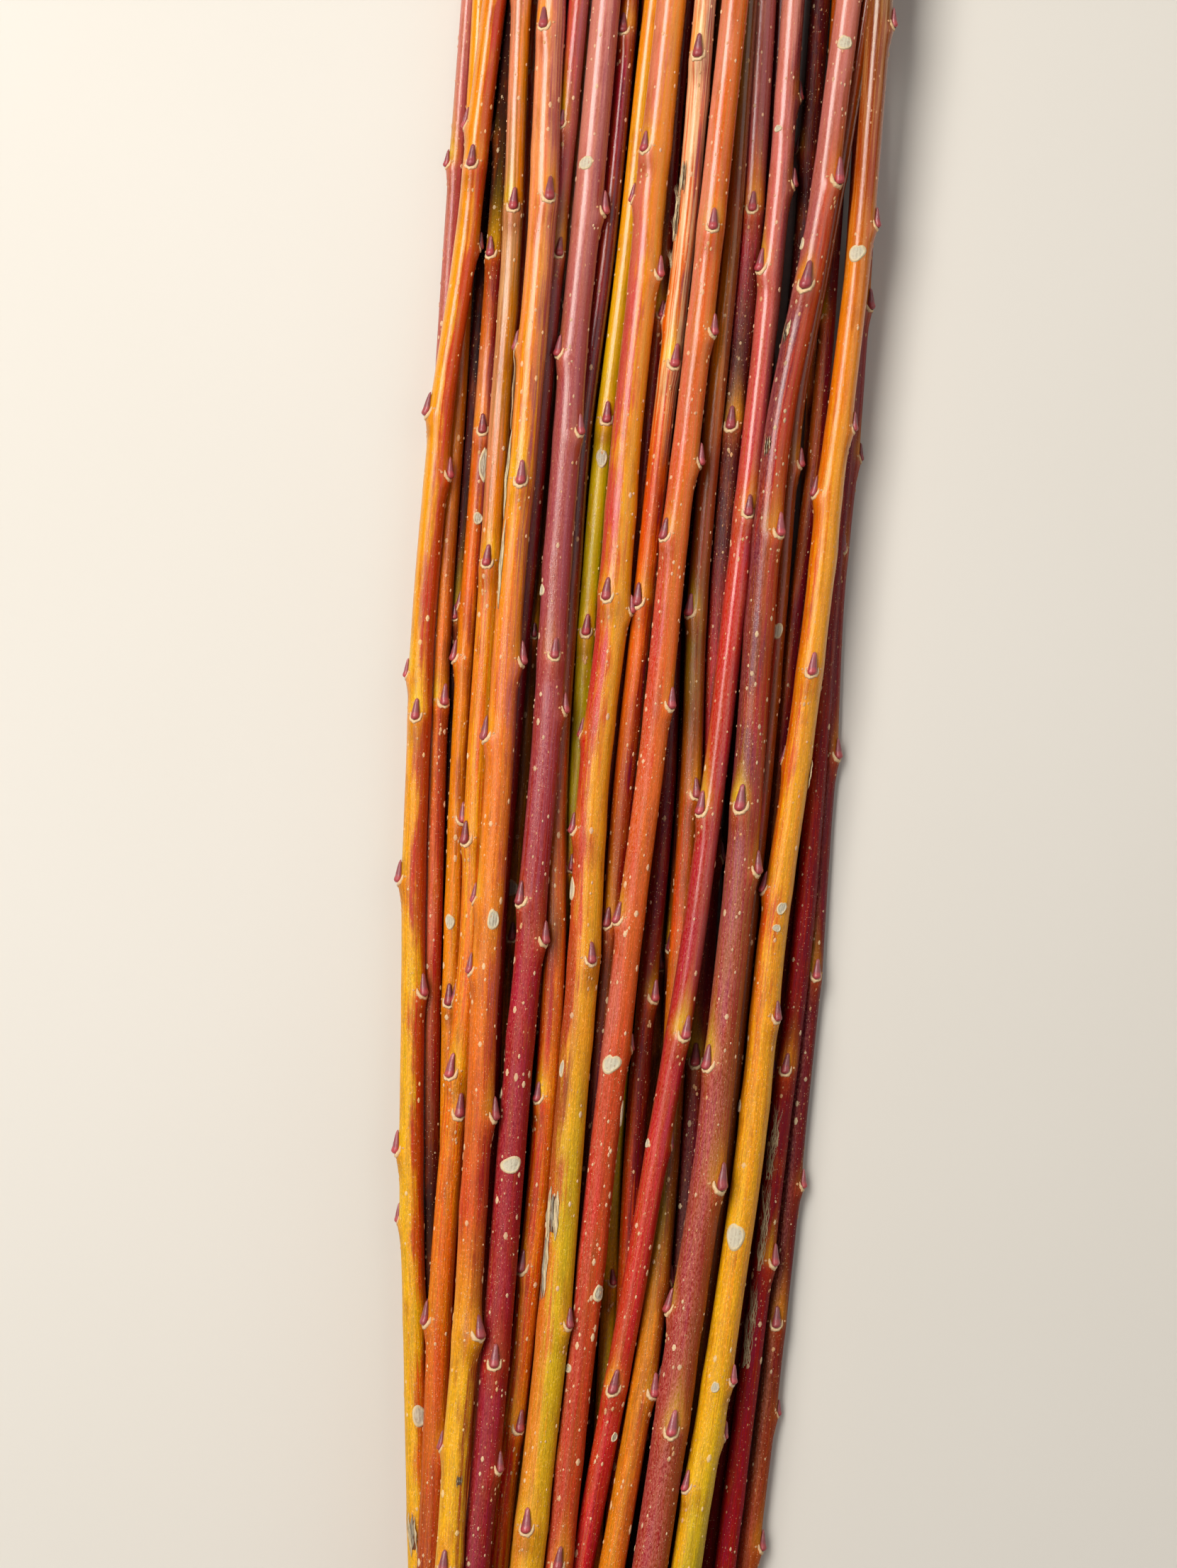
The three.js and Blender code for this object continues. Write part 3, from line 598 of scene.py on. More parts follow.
    def bark(self, turn, y):
        """Radius of the bark, with its ribs, the swelling under each bud, the lumps and the scars."""
        turn = np.asarray(turn, float)
        y = np.asarray(y, float)
        base = self.radius(y)
        sway = sum(np.sin(f * y + p) for f, p in self.sways) / len(self.sways)
        radius = base * (1 + SWAY * sway)
        depth = RIB_DEPTH * self.look.ribs * (0.6 + 0.9 * np.clip(age(y), 0, 1))
        for k, phase, drift, part in self.ripples:
            wave = np.cos(k * turn + phase + drift * y + 0.4 * np.sin(0.05 * y + k))
            radius = radius + depth * part * wave
        for bud in self.buds:
            u = (y - bud.y) / bud.size + BUD_HEEL + 0.25
            across = turned(turn - bud.turn) * base / bud.size
            shelf = np.where(u < 0, hump(u, 2.7), hump(u, 1.2))
            radius = radius + SHELF * bud.size * shelf * hump(across, 1.9)
            radius = radius + NODE_SWELL * base * hump(y - bud.y + 1.0, 4.0)
        for y0, degrees, wide, long, height in self.look.lumps:
            across = self.across(turn, y, degrees)
            radius = radius + height * hump(across, wide) * hump(y - y0, long / 2)
        for y0, degrees, wide, long in self.look.scars:
            across = self.across(turn, y, degrees)
            radius = radius + SCAR_SWELL * hump(across, 0.75 * wide) * hump(y - y0, 0.8 * long)
        return radius

    def place(self, turn, y, reach, push=0.0):
        """Places in space at a turn and a distance from the middle line, pushed along Y."""
        x = self.middle_x(y) + reach * np.sin(turn)
        z = self.middle_z(y) + reach * np.cos(turn)
        return np.stack([x, y + push, z], axis=-1)

    def point(self, turn, y, lift=0.0):
        """Places in space at a turn, a place along Y and a height over the bark."""
        turn, y, lift = np.broadcast_arrays(turn, y, lift)
        return self.place(turn, y, self.bark(turn, y) + lift)

    def near(self, turn, y, across, along, lift):
        """Places given by millimetres across and along the bark from a turn and a place."""
        y = y + np.asarray(along, float)
        return self.point(turn + across / (self.radius(y) + np.maximum(lift, 0)), y, lift)

    def grain(self, turn, y, lift=0.0):
        """Coordinates that run with the twig, as if it were straight."""
        turn, y, lift = np.broadcast_arrays(turn, y, lift)
        reach = self.radius(y) + lift
        return np.stack([reach * np.sin(turn), reach * np.cos(turn), y], axis=-1) + self.offset

    def colours(self, turn, y):
        """Colours of the left and right side, partly painted light and painted shade, with the flames over
        the buds.
        """
        sides = [colour_at(self.look.sun, y), colour_at(self.look.shade, y)]
        for bud in self.buds:
            u = y - bud.y
            across = turned(turn - bud.turn) * self.radius(y)
            rise = np.clip((u + 2.2) / 2.0, 0, 1) * np.exp(-np.clip(u - 1.5, 0, None) / bud.flame_length)
            spread = 1.9 * np.clip(1.25 - (u + 2.2) / (4.0 + 2.0 * bud.flame_length), 0.25, 1.0)
            flame = self.look.flame * rise * hump(across - 0.6 * bud.flame_side, spread)
            gold = linear(GOLD if bud.tone < 0.5 else YELLOW)
            sides = [blend(sides[0], gold, flame), blend(sides[1], linear(GOLD), 0.8 * flame)]
            sides = tint(sides, BLUSH, 0.5 * hump(u + BUD_HEEL, 1.5) * hump(across, 2.0))
            # A darker rusty patch just below the collar: painted shade under the collar's shelf
            sides = tint(sides, RUST, 0.6 * hump(u + BUD_HEEL + 2.9, 1.9) * hump(across, 2.0))
        for y0, degrees, wide, long, _ in self.look.lumps:
            across = self.across(turn, y, degrees)
            sides = tint(sides, TAN, 0.8 * hump(across, wide) * hump(y - y0, long / 2))
        return sides

    def marks(self, turn, y, lift=0.0):
        """What the materials read at points of the bark."""
        turn, y, lift = np.broadcast_arrays(turn, y, lift)
        sun, shade = self.colours(turn, y)
        wander = sum(np.sin(2.3 * f * y + 2 * p) for f, p in self.sways) / len(self.sways)
        side = np.sin(turn) - value_at(self.look.border, y) + 0.3 * wander
        worn = np.clip(age(y) + value_at(self.look.matt, y), 0, 1.5)
        return {
            "sun": opaque(sun),
            "shade": opaque(shade),
            "streak": streak_at(self.look.streak, y),
            "grain": self.grain(turn, y, lift),
            "cast": np.stack([side, worn, value_at(self.look.pale, y)], axis=-1),
        }

    def plain_marks(self, points, colour):
        """What the materials read at points of a detail in one colour, or in a colour for each point."""
        shape = points.shape[:-1]
        colour = opaque(np.broadcast_to(colour, shape + (3,)))
        return {
            "sun": colour,
            "shade": colour,
            "streak": np.zeros(shape + (4,)),
            "grain": points + self.offset,
            "cast": np.zeros(shape + (3,)),
        }


class Skin:
    """Points, faces and marks of one twig's mesh, as they are added."""

    def __init__(self):
        self.count = 0
        self.points = []
        self.faces = []
        self.marks = {name: [] for name in MARK_SIZES}

    def add_points(self, points, marks):
        first = self.count
        self.points.append(points.reshape(-1, 3))
        for name, size in MARK_SIZES.items():
            self.marks[name].append(np.asarray(marks[name]).reshape(-1, size))
        self.count += len(self.points[-1])
        return first

    def sheet(self, points, marks, finish, foot=False, tip=False):
        """A tube from rows and columns of points. foot closes its first row, and tip its last."""
        rows, columns = points.shape[:2]
        first = self.add_points(points, marks)
        index = first + np.arange(rows * columns).reshape(rows, columns)
        ahead = np.roll(index, -1, axis=1)
        quads = np.stack([index[:-1], ahead[:-1], ahead[1:], index[1:]], axis=-1).reshape(-1, 4)
        self.faces.append((quads, finish))
        if tip:
            self.fan(points[-1], {k: v[-1] for k, v in marks.items()}, finish, index[-1])
        if foot:
            self.fan(points[0], {k: v[0] for k, v in marks.items()}, finish, index[0], flip=True)

    def fan(self, rim, marks, finish, ring, flip=False):
        """Triangles from the points of a closed rim, whose numbers are in ring, to one new point.
        flip turns them over."""
        middle = self.add_points(rim.mean(axis=0)[None], {k: v[:1] for k, v in marks.items()})
        after = np.roll(ring, -1)
        if flip:
            ring, after = after, ring
        self.faces.append((np.stack([ring, after, np.full(len(ring), middle)], axis=-1), finish))


def ring_places(twig):
    """Places of the tube's rings: close together at buds, lumps and ends, further apart between them."""
    _, coarse, fine = DETAIL[twig.layer]
    busy = [bud.y for bud in twig.buds] + [lump[0] for lump in twig.look.lumps]
    busy = np.array(busy + [scar[0] for scar in twig.look.scars] + [twig.start, twig.end])
    places = [twig.start]
    while places[-1] < twig.end - coarse:
        step = fine if np.abs(busy - places[-1]).min() < 5.0 else coarse
        places.append(places[-1] + step)
    return np.array(places + [twig.end])


def add_tube(skin, twig):
    """The bark from end to end, with slanted cuts."""
    turn = around(DETAIL[twig.layer][0])
    y = ring_places(twig)[:, None] + 0 * turn
    turn = turn + 0 * y
    y = y + slant(twig, turn, y)
    skin.sheet(twig.point(turn, y), twig.marks(turn, y), "bark")


def slant(twig, turn, y, reach=1.0):
    """How far a point near a cut end is drawn back, because the cut isn't square."""
    direction = twig.offset[0] % 6.28
    amount = CUT_SLANT + twig.offset[1] % 0.5
    back = amount * (1 - reach * np.cos(turn - direction))
    near_butt = np.clip(1 - (y - twig.start) / CUT_REACH, 0, 1)
    near_tip = np.clip(1 - (twig.end - y) / CUT_REACH, 0, 1)
    return back * near_butt - back * near_tip


def add_cut(skin, twig, at_tip):
    """A cut end: a thin ring of bark, slightly uneven pale wood, and the pith a little sunk."""
    columns = DETAIL[twig.layer][0]
    y0 = twig.end if at_tip else twig.start
    outward = 1.0 if at_tip else -1.0
    turn = around(columns)
    if not at_tip:
        turn = turn[:, ::-1]
    points = []
    colours = []
    for share, proud, colour in CUT_RINGS:
        y = y0 + slant(twig, turn, np.full(turn.shape, y0), share)
        reach = twig.bark(turn, y) * share
        uneven = 0.05 * np.sin(5 * turn + y0) * (share < 0.9) * (share > 0.2)
        points.append(twig.place(turn, y, reach, outward * (proud + uneven))[0])
        colours.append(np.broadcast_to(linear(colour), (columns, 3)))
    points = np.array(points)
    marks = twig.plain_marks(points, np.array(colours))
    skin.sheet(points[:6], {k: v[:6] for k, v in marks.items()}, "wood")
    skin.sheet(points[5:], {k: v[5:] for k, v in marks.items()}, "pith", tip=True)


BUD_OUTLINE = smooth_line(
    [0, 0.05, 0.14, 0.3, 0.5, 0.7, 0.86, 0.96, 1.0], [0.5, 0.84, 1.0, 0.99, 0.86, 0.67, 0.52, 0.38, 0.12])
BUD_PROFILE = smooth_line([0, 0.08, 0.28, 0.55, 0.8, 0.95, 1.0], [0.45, 0.85, 1.0, 0.84, 0.62, 0.42, 0.25])


def add_bud(skin, twig, bud):
    """A bud pressed to the bark: one blunt scale with a soft keel, free at its tip."""
    rows, columns = bud.grid[:2]
    u = np.linspace(0, 1, rows)[:, None]
    theta = around(columns)
    length = (BUD_HEEL + BUD_TIP) * bud.size
    wide = BUD_WIDTH / 2 * bud.size * BUD_OUTLINE(u)
    high = BUD_RISE * bud.size * BUD_PROFILE(u)
    under = -0.45 + 0.6 * u ** 2
    across = wide * np.sin(theta) + bud.lean * u ** 2
    crown = (0.5 + 0.5 * np.cos(theta)) ** 0.75
    dent = 0.05 * hump(u - 0.34, 0.05) * (np.cos(theta) > -0.2)
    lift = under + (high - under) * crown - dent
    along = (u - 1) * length + BUD_TIP * bud.size + 0 * theta
    points = twig.near(bud.turn, bud.y, across, along, lift)
    share = np.clip(u + 0.15 * (bud.tone - 0.5), 0, 1) + 0 * theta
    colour = colour_at(BUD_COLOURS, share) * (0.7 + 0.6 * bud.tone)
    skin.sheet(points, twig.plain_marks(points, colour), "bud", tip=True)


def add_collar(skin, twig, bud):
    """The pale leaf scar that cups the bud's heel, crusty and drawn out to a point at either side."""
    rng = twig.rng
    rows, columns = bud.grid[2:]
    theta = np.radians(np.linspace(-COLLAR_TURN, COLLAR_TURN, rows))[:, None]
    phi = around(columns)
    share = np.abs(theta) / math.radians(COLLAR_TURN)
    crust = sum(part * np.sin(rate * theta + rng.uniform(0, 6)) for rate, part in COLLAR_CRUST)
    bumps = sum(part * np.sin(rate * theta + 2 * phi + rng.uniform(0, 6)) for rate, part in COLLAR_CRUST)
    wide = COLLAR_THICK / 2 * bud.size * (1.1 - 0.5 * share ** 2 - 0.4 * share ** 8) * (1 + crust)
    high = COLLAR_HIGH * bud.size * (1.0 - 0.55 * share ** 4) * (1 + bumps)
    half = COLLAR_WIDTH / 2 * bud.size * (1 + 0.25 * share ** 6)
    deep = COLLAR_DEPTH * bud.size * (1 + 0.5 * crust)
    across = half * np.sin(theta) + wide * np.sin(theta) * np.cos(phi)
    along = (0.95 - BUD_HEEL) * bud.size - deep * np.cos(theta) - wide * np.cos(theta) * np.cos(phi)
    lift = high * np.clip(-np.sin(phi), -0.6, 1) - 0.05
    points = twig.near(bud.turn, bud.y, across, along, lift)
    tone = np.clip(0.35 + 1.5 * bumps - 0.35 * np.sin(phi) - 0.2 * np.cos(phi), 0, 1)
    colour = blend(linear(TAN), linear(CREAM), tone)
    skin.sheet(points, twig.plain_marks(points, colour), "cork")
    for side in (-1, 1):
        turn = bud.turn + side * 1.35 * half[0, 0] / twig.radius(bud.y)
        y = bud.y + (1.2 - BUD_HEEL) * bud.size
        add_dome(skin, twig, float(turn), y, 0.6, 0.5, 0.16, linear(TAN))


def add_dome(skin, twig, turn, y, wide, long, high, colour, finish="cork"):
    """A lenticel: a small low dome drawn out along the twig."""
    phi = around(6)
    share = np.array([1.15, 0.8, 0.35])[:, None]
    lift = np.array([-0.06, 0.75 * high, high])[:, None] + 0 * phi
    across = wide / 2 * share * np.cos(phi) * (1 - 0.25 * np.abs(np.sin(phi)))
    along = long / 2 * share * np.sin(phi)
    points = twig.near(turn, y, across, along, lift)
    skin.sheet(points, twig.plain_marks(points, colour), finish, tip=True)


def add_lenticels(skin, twig):
    """Lenticels at random over the bark, larger towards the butt, and one to three under each bud."""
    rng = twig.rng
    for _ in range(round(LENTICELS * twig.look.dots)):
        turn = rng.uniform(-math.pi, math.pi)
        y = rng.uniform(twig.start + 2, twig.end - 2)
        if any(abs(y - bud.y - 0.5) < 4.5 and abs(turned(turn - bud.turn)) < 0.8 for bud in twig.buds):
            continue
        old = age(y)
        wide = rng.uniform(0.3, 0.56) * (1 + (0.4 + 0.6 * old) * (rng.random() < 0.3))
        long = wide * rng.uniform(1.2, 1.7 + 0.5 * old)
        sun, _ = twig.colours(turn, y)
        colour = blend(sun, linear(CREAM), rng.uniform(0.3, 0.6) + 0.25 * old)
        add_dome(skin, twig, turn, y, wide, long, 0.12, colour)
    for bud in twig.buds:
        for _ in range(rng.integers(1, 4)):
            turn = bud.turn + rng.uniform(-0.35, 0.35)
            y = bud.y - BUD_HEEL - rng.uniform(2.6, 6.0)
            wide = rng.uniform(0.4, 0.65)
            add_dome(skin, twig, turn, y, wide, wide * rng.uniform(1.3, 2.0), 0.13, linear(TAN))


def add_scar(skin, twig, y, degrees, wide, long):
    """An old scar: a pale grey face, cracked along the twig, with a raised cream rim."""
    phi = around(28)
    share = np.array([1.22, 1.08, 0.97, 0.86, 0.74, 0.55, 0.35, 0.14])[:, None]
    height = np.array([-0.16, 0.04, 0.2, 0.2, 0.1, 0.07, 0.1, 0.12])[:, None]
    uneven = 1 + 0.09 * np.sin(2 * phi + y) + 0.07 * np.sin(3 * phi + 2 * y)
    above = np.clip(np.sin(phi), 0, 1)
    pointed = 0.3 + 0.25 * math.sin(y)
    lobes = 0.15 + 0.15 * math.sin(3 * y)
    across = wide / 2 * share * uneven * np.cos(phi) * (1 - pointed * above ** 2)
    along = long / 2 * share * uneven * np.sin(phi) * (1 - lobes * above * hump(np.cos(phi) - 0.2, 0.35))
    inside = share < 0.8
    crack = sum(hump(across - place * wide, 0.09) for place in (-0.2, 0.02, 0.24))
    lift = height * (1 - 0.4 * np.sin(phi) * ~inside) - 0.1 * crack * inside
    points = twig.near(math.radians(degrees), y, across, along, lift)
    face = blend(linear(ASH) + 0 * points, linear(BROWN) + 0 * points, 0.4 * np.clip(crack, 0, 1))
    colour = np.where(inside[..., None], face, linear(CREAM) * 0.85)
    skin.sheet(points, twig.plain_marks(points, colour), "scar", tip=True)


def add_peel(skin, twig, y, degrees, wide, long):
    """Bark that has torn: pale ragged slivers, each with one edge curled up, beside a dark hollow."""
    rng = twig.rng
    turn = math.radians(degrees)
    add_dome(skin, twig, turn, y, 0.9 * wide, 0.8 * long, 0.1, linear(BROWN), "fibre")
    count = 3 if wide > 1.0 else 1
    for k in range(count):
        u = np.linspace(0, 1, 17)[:, None]
        theta = around(10)
        outline = np.sin(math.pi * np.clip(u, 0.02, 0.98)) ** 0.7
        ragged = 1 + 0.22 * np.sin(13 * u + y + k) + 0.15 * np.sin(29 * u + 2 * k)
        side = np.sin(theta)
        own = long * rng.uniform(0.6, 1.0) if k else long
        place = (k - (count - 1) / 2) / count * wide
        lean = 0.2 * wide * rng.uniform(-1, 1) * (u - 0.5)
        across = place + lean + wide / 2 / count * outline * ragged * side
        curl = 0.4 * np.clip(side * rng.choice([-1, 1]), 0, 1) ** 2 * outline
        lift = 0.16 + 0.05 * np.cos(theta) + curl + 0.06 * np.sin(17 * u + k)
        along = (u - 0.5) * own + rng.uniform(-0.5, 0.5) * (long - own) + 0 * theta
        points = twig.near(turn, y, across, along, lift)
        tone = 0.7 + 0.3 * np.sin(11 * u + 3 * theta + y + k)
        pale = linear(GREY if k == 1 else CREAM)
        skin.sheet(points, twig.plain_marks(points, pale * tone[..., None]), "fibre", foot=True, tip=True)


def add_fibres(skin, twig, y, degrees, long):
    """A tuft of torn bast fibres that lie along the bark and curl away from it."""
    rng = twig.rng
    for _ in range(14):
        u = np.linspace(0, 1, 12)[:, None]
        phi = around(5)
        start = rng.uniform(-0.6, 0.6)
        bend = rng.uniform(-0.9, 0.9)
        reach = long * rng.uniform(0.5, 1.0)
        rise = rng.uniform(0.1, 1.1)
        thin = rng.uniform(0.04, 0.09) * (1.1 - u)
        wave = 0.3 * np.sin(rng.uniform(4, 10) * u + rng.uniform(0, 6))
        across = start + bend * u ** 2 + wave + thin * np.cos(phi)
        lift = 0.05 + rise * u ** 1.5 - thin * np.sin(phi)
        along = (u - 0.5) * reach + 0 * phi
        points = twig.near(math.radians(degrees), y, across, along, lift)
        colour = linear(CREAM) * rng.uniform(0.5, 0.95)
        skin.sheet(points, twig.plain_marks(points, colour), "fibre")


class Nodes:
    """A material's nodes, added one by one. A socket given as a value becomes a link."""

    def __init__(self, name):
        self.material = bpy.data.materials.new(name)
        self.material.use_nodes = True
        self.tree = self.material.node_tree
        self.tree.nodes.clear()

    def add(self, kind, values=None, **settings):
        node = self.tree.nodes.new(kind)
        for key, value in settings.items():
            setattr(node, key, value)
        for socket, value in (values or {}).items():
            if isinstance(value, bpy.types.NodeSocket):
                self.tree.links.new(value, node.inputs[socket])
            else:
                node.inputs[socket].default_value = value
        return node

    def mark(self, name):
        return self.add("ShaderNodeAttribute", attribute_name=name)

    def stretched(self, vector, scale):
        node = self.add("ShaderNodeVectorMath", {0: vector, 1: scale}, operation="MULTIPLY")
        return node.outputs["Vector"]

    def noise(self, vector, detail=2.0, roughness=0.5):
        """Soft noise from 0 to 1, with one bump to each unit of the vector."""
        values = {"Vector": vector, "Scale": 1.0, "Detail": detail, "Roughness": roughness}
        return self.add("ShaderNodeTexNoise", values).outputs["Fac"]

    def step(self, value, low, high, to_low=0.0, to_high=1.0):
        """A value brought smoothly from the range low to high into another range."""
        values = {"Value": value, "From Min": low, "From Max": high, "To Min": to_low, "To Max": to_high}
        return self.add("ShaderNodeMapRange", values, interpolation_type="SMOOTHSTEP").outputs["Result"]

    def plus(self, first, second):
        return self.add("ShaderNodeMath", {0: first, 1: second}, operation="ADD").outputs["Value"]

    def times(self, first, second):
        return self.add("ShaderNodeMath", {0: first, 1: second}, operation="MULTIPLY").outputs["Value"]

    def mix(self, share, low, high):
        """One colour mixed with another by a share."""
        return self.add("ShaderNodeMix", {0: share, 6: low, 7: high}, data_type="RGBA").outputs[2]

    def adjust(self, colour, hue, saturation, value):
        values = {"Hue": hue, "Saturation": saturation, "Value": value, "Fac": 1.0, "Color": colour}
        return self.add("ShaderNodeHueSaturation", values).outputs["Color"]

    def spots(self, vector, near, far, few, many):
        """Round spots: 1 up to near from a cell's middle, 0 beyond far. few and many choose the cells."""
        cells = self.add("ShaderNodeTexVoronoi", {"Vector": vector, "Scale": 1.0})
        chosen = self.add("ShaderNodeSeparateColor", {0: cells.outputs["Color"]}).outputs[0]
        spot = self.step(cells.outputs["Distance"], near, far, 1.0, 0.0)
        return self.times(spot, self.step(chosen, few, many))

    def shader(self, colour, roughness, height, depth, **constants):
        bump = self.add("ShaderNodeBump", {"Height": height, "Distance": depth, "Strength": 1.0}).outputs[0]
        values = {"Base Color": colour, "Roughness": roughness, "Normal": bump, "Coat Normal": bump}
        values.update({key.replace("_", " "): value for key, value in constants.items()})
        shader = self.add("ShaderNodeBsdfPrincipled", values)
        self.add("ShaderNodeOutputMaterial", {"Surface": shader.outputs["BSDF"]})
        return self.material


def rgba(code):
    return (*linear(code), 1.0)


def mix_sides(nodes, pattern, cast):
    """The two side colours, partly painted light and shade, with a streaky, patchy border, then threads and
    rusty clouds.
    """
    sun, shade, streak = (nodes.mark(name).outputs for name in ("sun", "shade", "streak"))
    lines = nodes.noise(pattern["lines"], 4.0, 0.6)
    patches = nodes.noise(pattern["patches"], 3.0, 0.55)
    threads = nodes.noise(pattern["threads"], 3.0, 0.6)
    turn = nodes.plus(cast["X"], nodes.step(lines, 0.25, 0.75, -0.45, 0.45))
    turn = nodes.plus(turn, nodes.step(patches, 0.3, 0.7, -0.3, 0.3))
    colour = nodes.mix(nodes.step(turn, -0.5, 0.5), sun["Color"], shade["Color"])
    is_thread = nodes.times(nodes.step(threads, 0.42, 0.6), streak["Alpha"])
    colour = nodes.mix(is_thread, colour, streak["Color"])
    clouds = nodes.noise(pattern["clouds"], 3.0, 0.6)
    return nodes.mix(nodes.step(clouds, 0.5, 0.75, 0.0, 0.45), colour, rgba(RUST)), threads


def make_bark(name, rough, rougher, wax):
    """Bark: two side colours, hairs, grit, pale flecks, bloom, dots and dust, under a wax that wears off.
    The mark cast holds the place between the two sides, how worn the bark is, and its bloom, partly painted
    sheen."""
    nodes = Nodes(name)
    grain = nodes.mark("grain").outputs["Vector"]
    pattern = {key: nodes.stretched(grain, scale) for key, scale in PATTERNS.items()}
    cast = nodes.add("ShaderNodeSeparateXYZ", {"Vector": nodes.mark("cast").outputs["Vector"]}).outputs
    worn = cast["Y"]
    colour, threads = mix_sides(nodes, pattern, cast)
    hairs = nodes.noise(pattern["hairs"], 2.0, 0.5)
    grit = nodes.noise(pattern["grit"], 3.0, 0.6)
    coarse = nodes.step(worn, 0.1, 0.75, 0.2, 1.0)
    value = nodes.plus(nodes.step(hairs, 0.3, 0.7, -0.15, 0.13), nodes.step(grit, 0.3, 0.7, -0.18, 0.14))
    value = nodes.plus(nodes.times(value, coarse), 1.0)
    hue = nodes.step(threads, 0.3, 0.7, 0.491, 0.509)
    colour = nodes.adjust(colour, hue, nodes.step(worn, 0.1, 0.9, 1.06, 1.27), value)
    fleck = nodes.step(nodes.noise(pattern["flecks"], 2.0, 0.7), 0.58, 0.68)
    fleck = nodes.times(fleck, nodes.step(worn, 0.0, 1.0, 0.3, 0.7))
    colour = nodes.mix(fleck, colour, nodes.adjust(colour, 0.503, 0.93, 1.4))
    # Waxy bloom, kept to the left flank where the lamps fall: partly real bloom, partly a painted sheen
    bloom_and_sheen = nodes.times(cast["Z"], nodes.step(grit, 0.35, 0.7))
    bloom_and_sheen = nodes.times(bloom_and_sheen, nodes.step(cast["X"], -0.3, 0.5, 1.0, 0.1))
    colour = nodes.mix(bloom_and_sheen, colour, rgba(PINK))
    is_dot = nodes.spots(pattern["dots"], 0.1, 0.17, 0.45, 0.55)
    colour = nodes.mix(nodes.times(is_dot, 0.75), colour, rgba(TAN))
    is_dust = nodes.spots(pattern["dust"], 0.12, 0.22, 0.6, 0.7)
    is_dust = nodes.times(is_dust, nodes.step(worn, 0.1, 0.8, 0.2, 0.6))
    colour = nodes.mix(is_dust, colour, rgba(CREAM))
    roughness = nodes.step(worn, 0.1, 0.9, rough, rough + rougher)
    # Where matt takes worn past 1, as on the painted-shade stretches, the bark gets rougher and loses its
    # wax
    roughness = nodes.plus(roughness, nodes.step(worn, 1.0, 1.4, 0.0, 0.3))
    roughness = nodes.plus(roughness, nodes.step(grit, 0.3, 0.7, -0.08, 0.12))
    height = nodes.plus(nodes.times(hairs, 0.6), grit)
    height = nodes.plus(height, nodes.times(is_dot, 0.4))
    height = nodes.times(height, coarse)
    wax = nodes.step(worn, 0.15, 0.8, wax, 0.3 * wax)
    wax = nodes.times(wax, nodes.step(worn, 0.9, 1.3, 1.0, 0.0))
    return nodes.shader(
        colour, roughness, height, 0.0001, Coat_Weight=wax, Coat_Roughness=0.18, Coat_IOR=1.55,
        Specular_IOR_Level=0.15)


def make_bud():
    """Bud scale: smooth and waxy, with fine lines and a pale blush in patches."""
    nodes = Nodes("bud")
    grain = nodes.mark("grain").outputs["Vector"]
    lines = nodes.noise(nodes.stretched(grain, (4.0, 1.0, 4.0)), 3.0, 0.6)
    fine = nodes.noise(nodes.stretched(grain, (6.0, 5.0, 6.0)), 2.0)
    colour = nodes.mark("sun").outputs["Color"]
    colour = nodes.mix(nodes.step(lines, 0.35, 0.7, 0.0, 0.5), colour, rgba(MAUVE))
    colour = nodes.mix(nodes.step(fine, 0.55, 0.8, 0.0, 0.35), colour, rgba(BLUSH))
    roughness = nodes.step(fine, 0.3, 0.7, 0.28, 0.45)
    return nodes.shader(colour, roughness, lines, 0.00006, Coat_Weight=0.35, Coat_Roughness=0.15)


def make_rough(name, dark, stretch, roughness, depth):
    """Cork, scars, wood and fibres: the mark's colour with darker grain."""
    nodes = Nodes(name)
    grain = nodes.mark("grain").outputs["Vector"]
    lines = nodes.noise(nodes.stretched(grain, stretch), 4.0, 0.65)
    colour = nodes.mark("sun").outputs["Color"]
    colour = nodes.mix(nodes.step(lines, 0.42, 0.68, 0.0, 0.6), colour, rgba(dark))
    return nodes.shader(colour, roughness, lines, depth)


def make_floor():
    """The floor: pale and matt, with faint clouds."""
    nodes = Nodes("floor")
    place = nodes.add("ShaderNodeNewGeometry").outputs["Position"]
    cloud = nodes.noise(nodes.stretched(place, (6.0, 6.0, 6.0)), 2.0)
    colour = nodes.mix(nodes.step(cloud, 0.3, 0.7, 0.0, 0.06), rgba(FLOOR), rgba(GREY))
    return nodes.shader(colour, 0.8, cloud, 0.00001)


def make_materials():
    """The seven barks, and what the details are made of, by name."""
    materials = {"bark_" + name: make_bark("bark_" + name, *values) for name, values in BARKS.items()}
    materials["bud"] = make_bud()
    for name, values in ROUGH.items():
        materials[name] = make_rough(name, *values)
    return materials


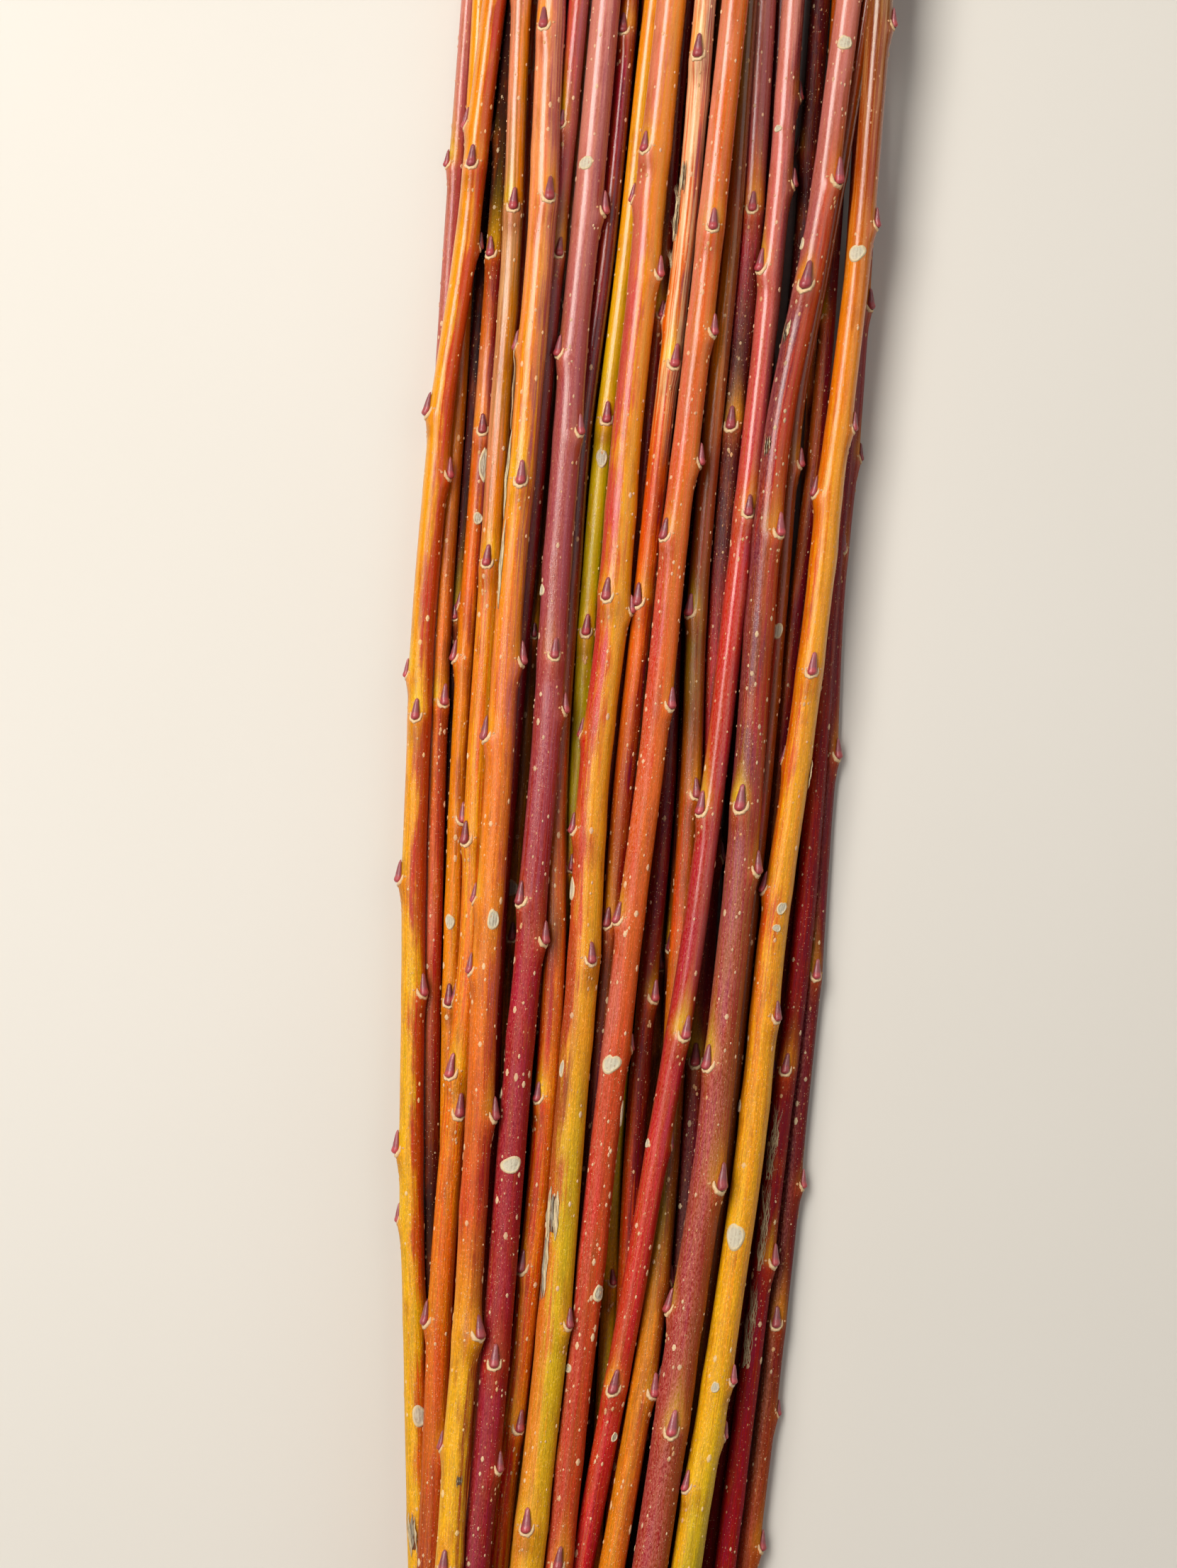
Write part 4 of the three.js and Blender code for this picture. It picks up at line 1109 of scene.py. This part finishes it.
def make_object(twig, skin, materials):
    """One mesh object from a skin, with a slot for each finish that it uses."""
    mesh = bpy.data.meshes.new(twig.name)
    points = np.concatenate(skin.points)
    points[:, 2] = np.maximum(points[:, 2], FLOOR_GAP)
    used = [finish for finish in FINISHES if any(finish == f for _, f in skin.faces)]
    loops = np.concatenate([faces.reshape(-1) for faces, _ in skin.faces])
    totals = np.concatenate([np.full(len(faces), faces.shape[1]) for faces, _ in skin.faces])
    slots = np.concatenate([np.full(len(faces), used.index(finish)) for faces, finish in skin.faces])
    mesh.vertices.add(len(points))
    mesh.vertices.foreach_set("co", (points * MM).reshape(-1))
    mesh.loops.add(len(loops))
    mesh.loops.foreach_set("vertex_index", loops)
    mesh.polygons.add(len(totals))
    mesh.polygons.foreach_set("loop_start", np.concatenate([[0], np.cumsum(totals)[:-1]]))
    mesh.polygons.foreach_set("loop_total", totals)
    mesh.polygons.foreach_set("material_index", slots)
    mesh.polygons.foreach_set("use_smooth", np.ones(len(totals), bool))
    mesh.update(calc_edges=True)
    for name, size in MARK_SIZES.items():
        kind = "FLOAT_COLOR" if size == 4 else "FLOAT_VECTOR"
        attribute = mesh.attributes.new(name, kind, "POINT")
        values = np.concatenate(skin.marks[name]).reshape(-1)
        attribute.data.foreach_set("color" if size == 4 else "vector", values)
    for finish in used:
        key = "bark_" + twig.look.bark if finish == "bark" else finish
        mesh.materials.append(materials[key])
    piece = bpy.data.objects.new(twig.name + "_bark", mesh)
    bpy.context.scene.collection.objects.link(piece)
    return piece


def make_twig(twig, materials):
    """Everything of one twig, in place of its node."""
    twig.make_kinks()
    skin = Skin()
    add_tube(skin, twig)
    add_cut(skin, twig, at_tip=False)
    add_cut(skin, twig, at_tip=True)
    for bud in twig.buds:
        add_bud(skin, twig, bud)
        add_collar(skin, twig, bud)
    add_lenticels(skin, twig)
    for scar in twig.look.scars:
        add_scar(skin, twig, *scar)
    for peel in twig.look.peels:
        add_peel(skin, twig, *peel)
    for tuft in twig.look.fibres:
        add_fibres(skin, twig, *tuft)
    piece = make_object(twig, skin, materials)
    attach(piece, "root")
    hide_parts(twig.name)
    return piece


def make_area(name, place, target, size, power, colour):
    """A rectangular soft light at a place in metres, turned to a target, with its long side along Y."""
    data = bpy.data.lights.new(name, "AREA")
    data.shape = "RECTANGLE"
    data.size, data.size_y = size
    data.energy = power
    data.color = colour
    light = bpy.data.objects.new(name, data)
    bpy.context.scene.collection.objects.link(light)
    light.location = place
    dx, dy, dz = (target[k] - place[k] for k in range(3))
    light.rotation_euler = (math.atan2(dy, -dz), -math.atan2(dx, math.hypot(dy, dz)), 0.0)


def add_floor():
    """The floor that the bundle lies on."""
    mesh = bpy.data.meshes.new("floor")
    corners = [(x * FLOOR_HALF, y * FLOOR_HALF, 0) for x, y in ((-1, -1), (1, -1), (1, 1), (-1, 1))]
    mesh.from_pydata(corners, [], [(0, 1, 2, 3)])
    mesh.materials.append(make_floor())
    floor = bpy.data.objects.new("floor", mesh)
    bpy.context.scene.collection.objects.link(floor)


def add_sky():
    """A little even light from all around."""
    world = bpy.data.worlds.new("studio")
    world.use_nodes = True
    background = world.node_tree.nodes["Background"]
    background.inputs["Color"].default_value = SKY
    background.inputs["Strength"].default_value = SKY_STRENGTH
    bpy.context.scene.world = world
    bpy.context.scene.view_settings.view_transform = "Standard"


def add_camera():
    """A camera straight above, as high as the photograph's frame needs."""
    data = bpy.data.cameras.new("camera")
    data.lens = LENS
    data.sensor_fit = "VERTICAL"
    data.sensor_height = SENSOR
    camera = bpy.data.objects.new("camera", data)
    bpy.context.scene.collection.objects.link(camera)
    camera.location = (VIEW_X * MM, 0.0, (VIEW_LEVEL + VIEW_HEIGHT * LENS / SENSOR) * MM)
    bpy.context.scene.camera = camera


add_floor()
for light_name, values in LIGHTS.items():
    make_area(light_name, *values)
add_sky()
add_camera()
all_materials = make_materials()
all_twigs = [Twig(name, number) for number, name in enumerate(LOOKS)]
for one in all_twigs:
    one.add_spare_buds(all_twigs)
for one in all_twigs:
    make_twig(one, all_materials)
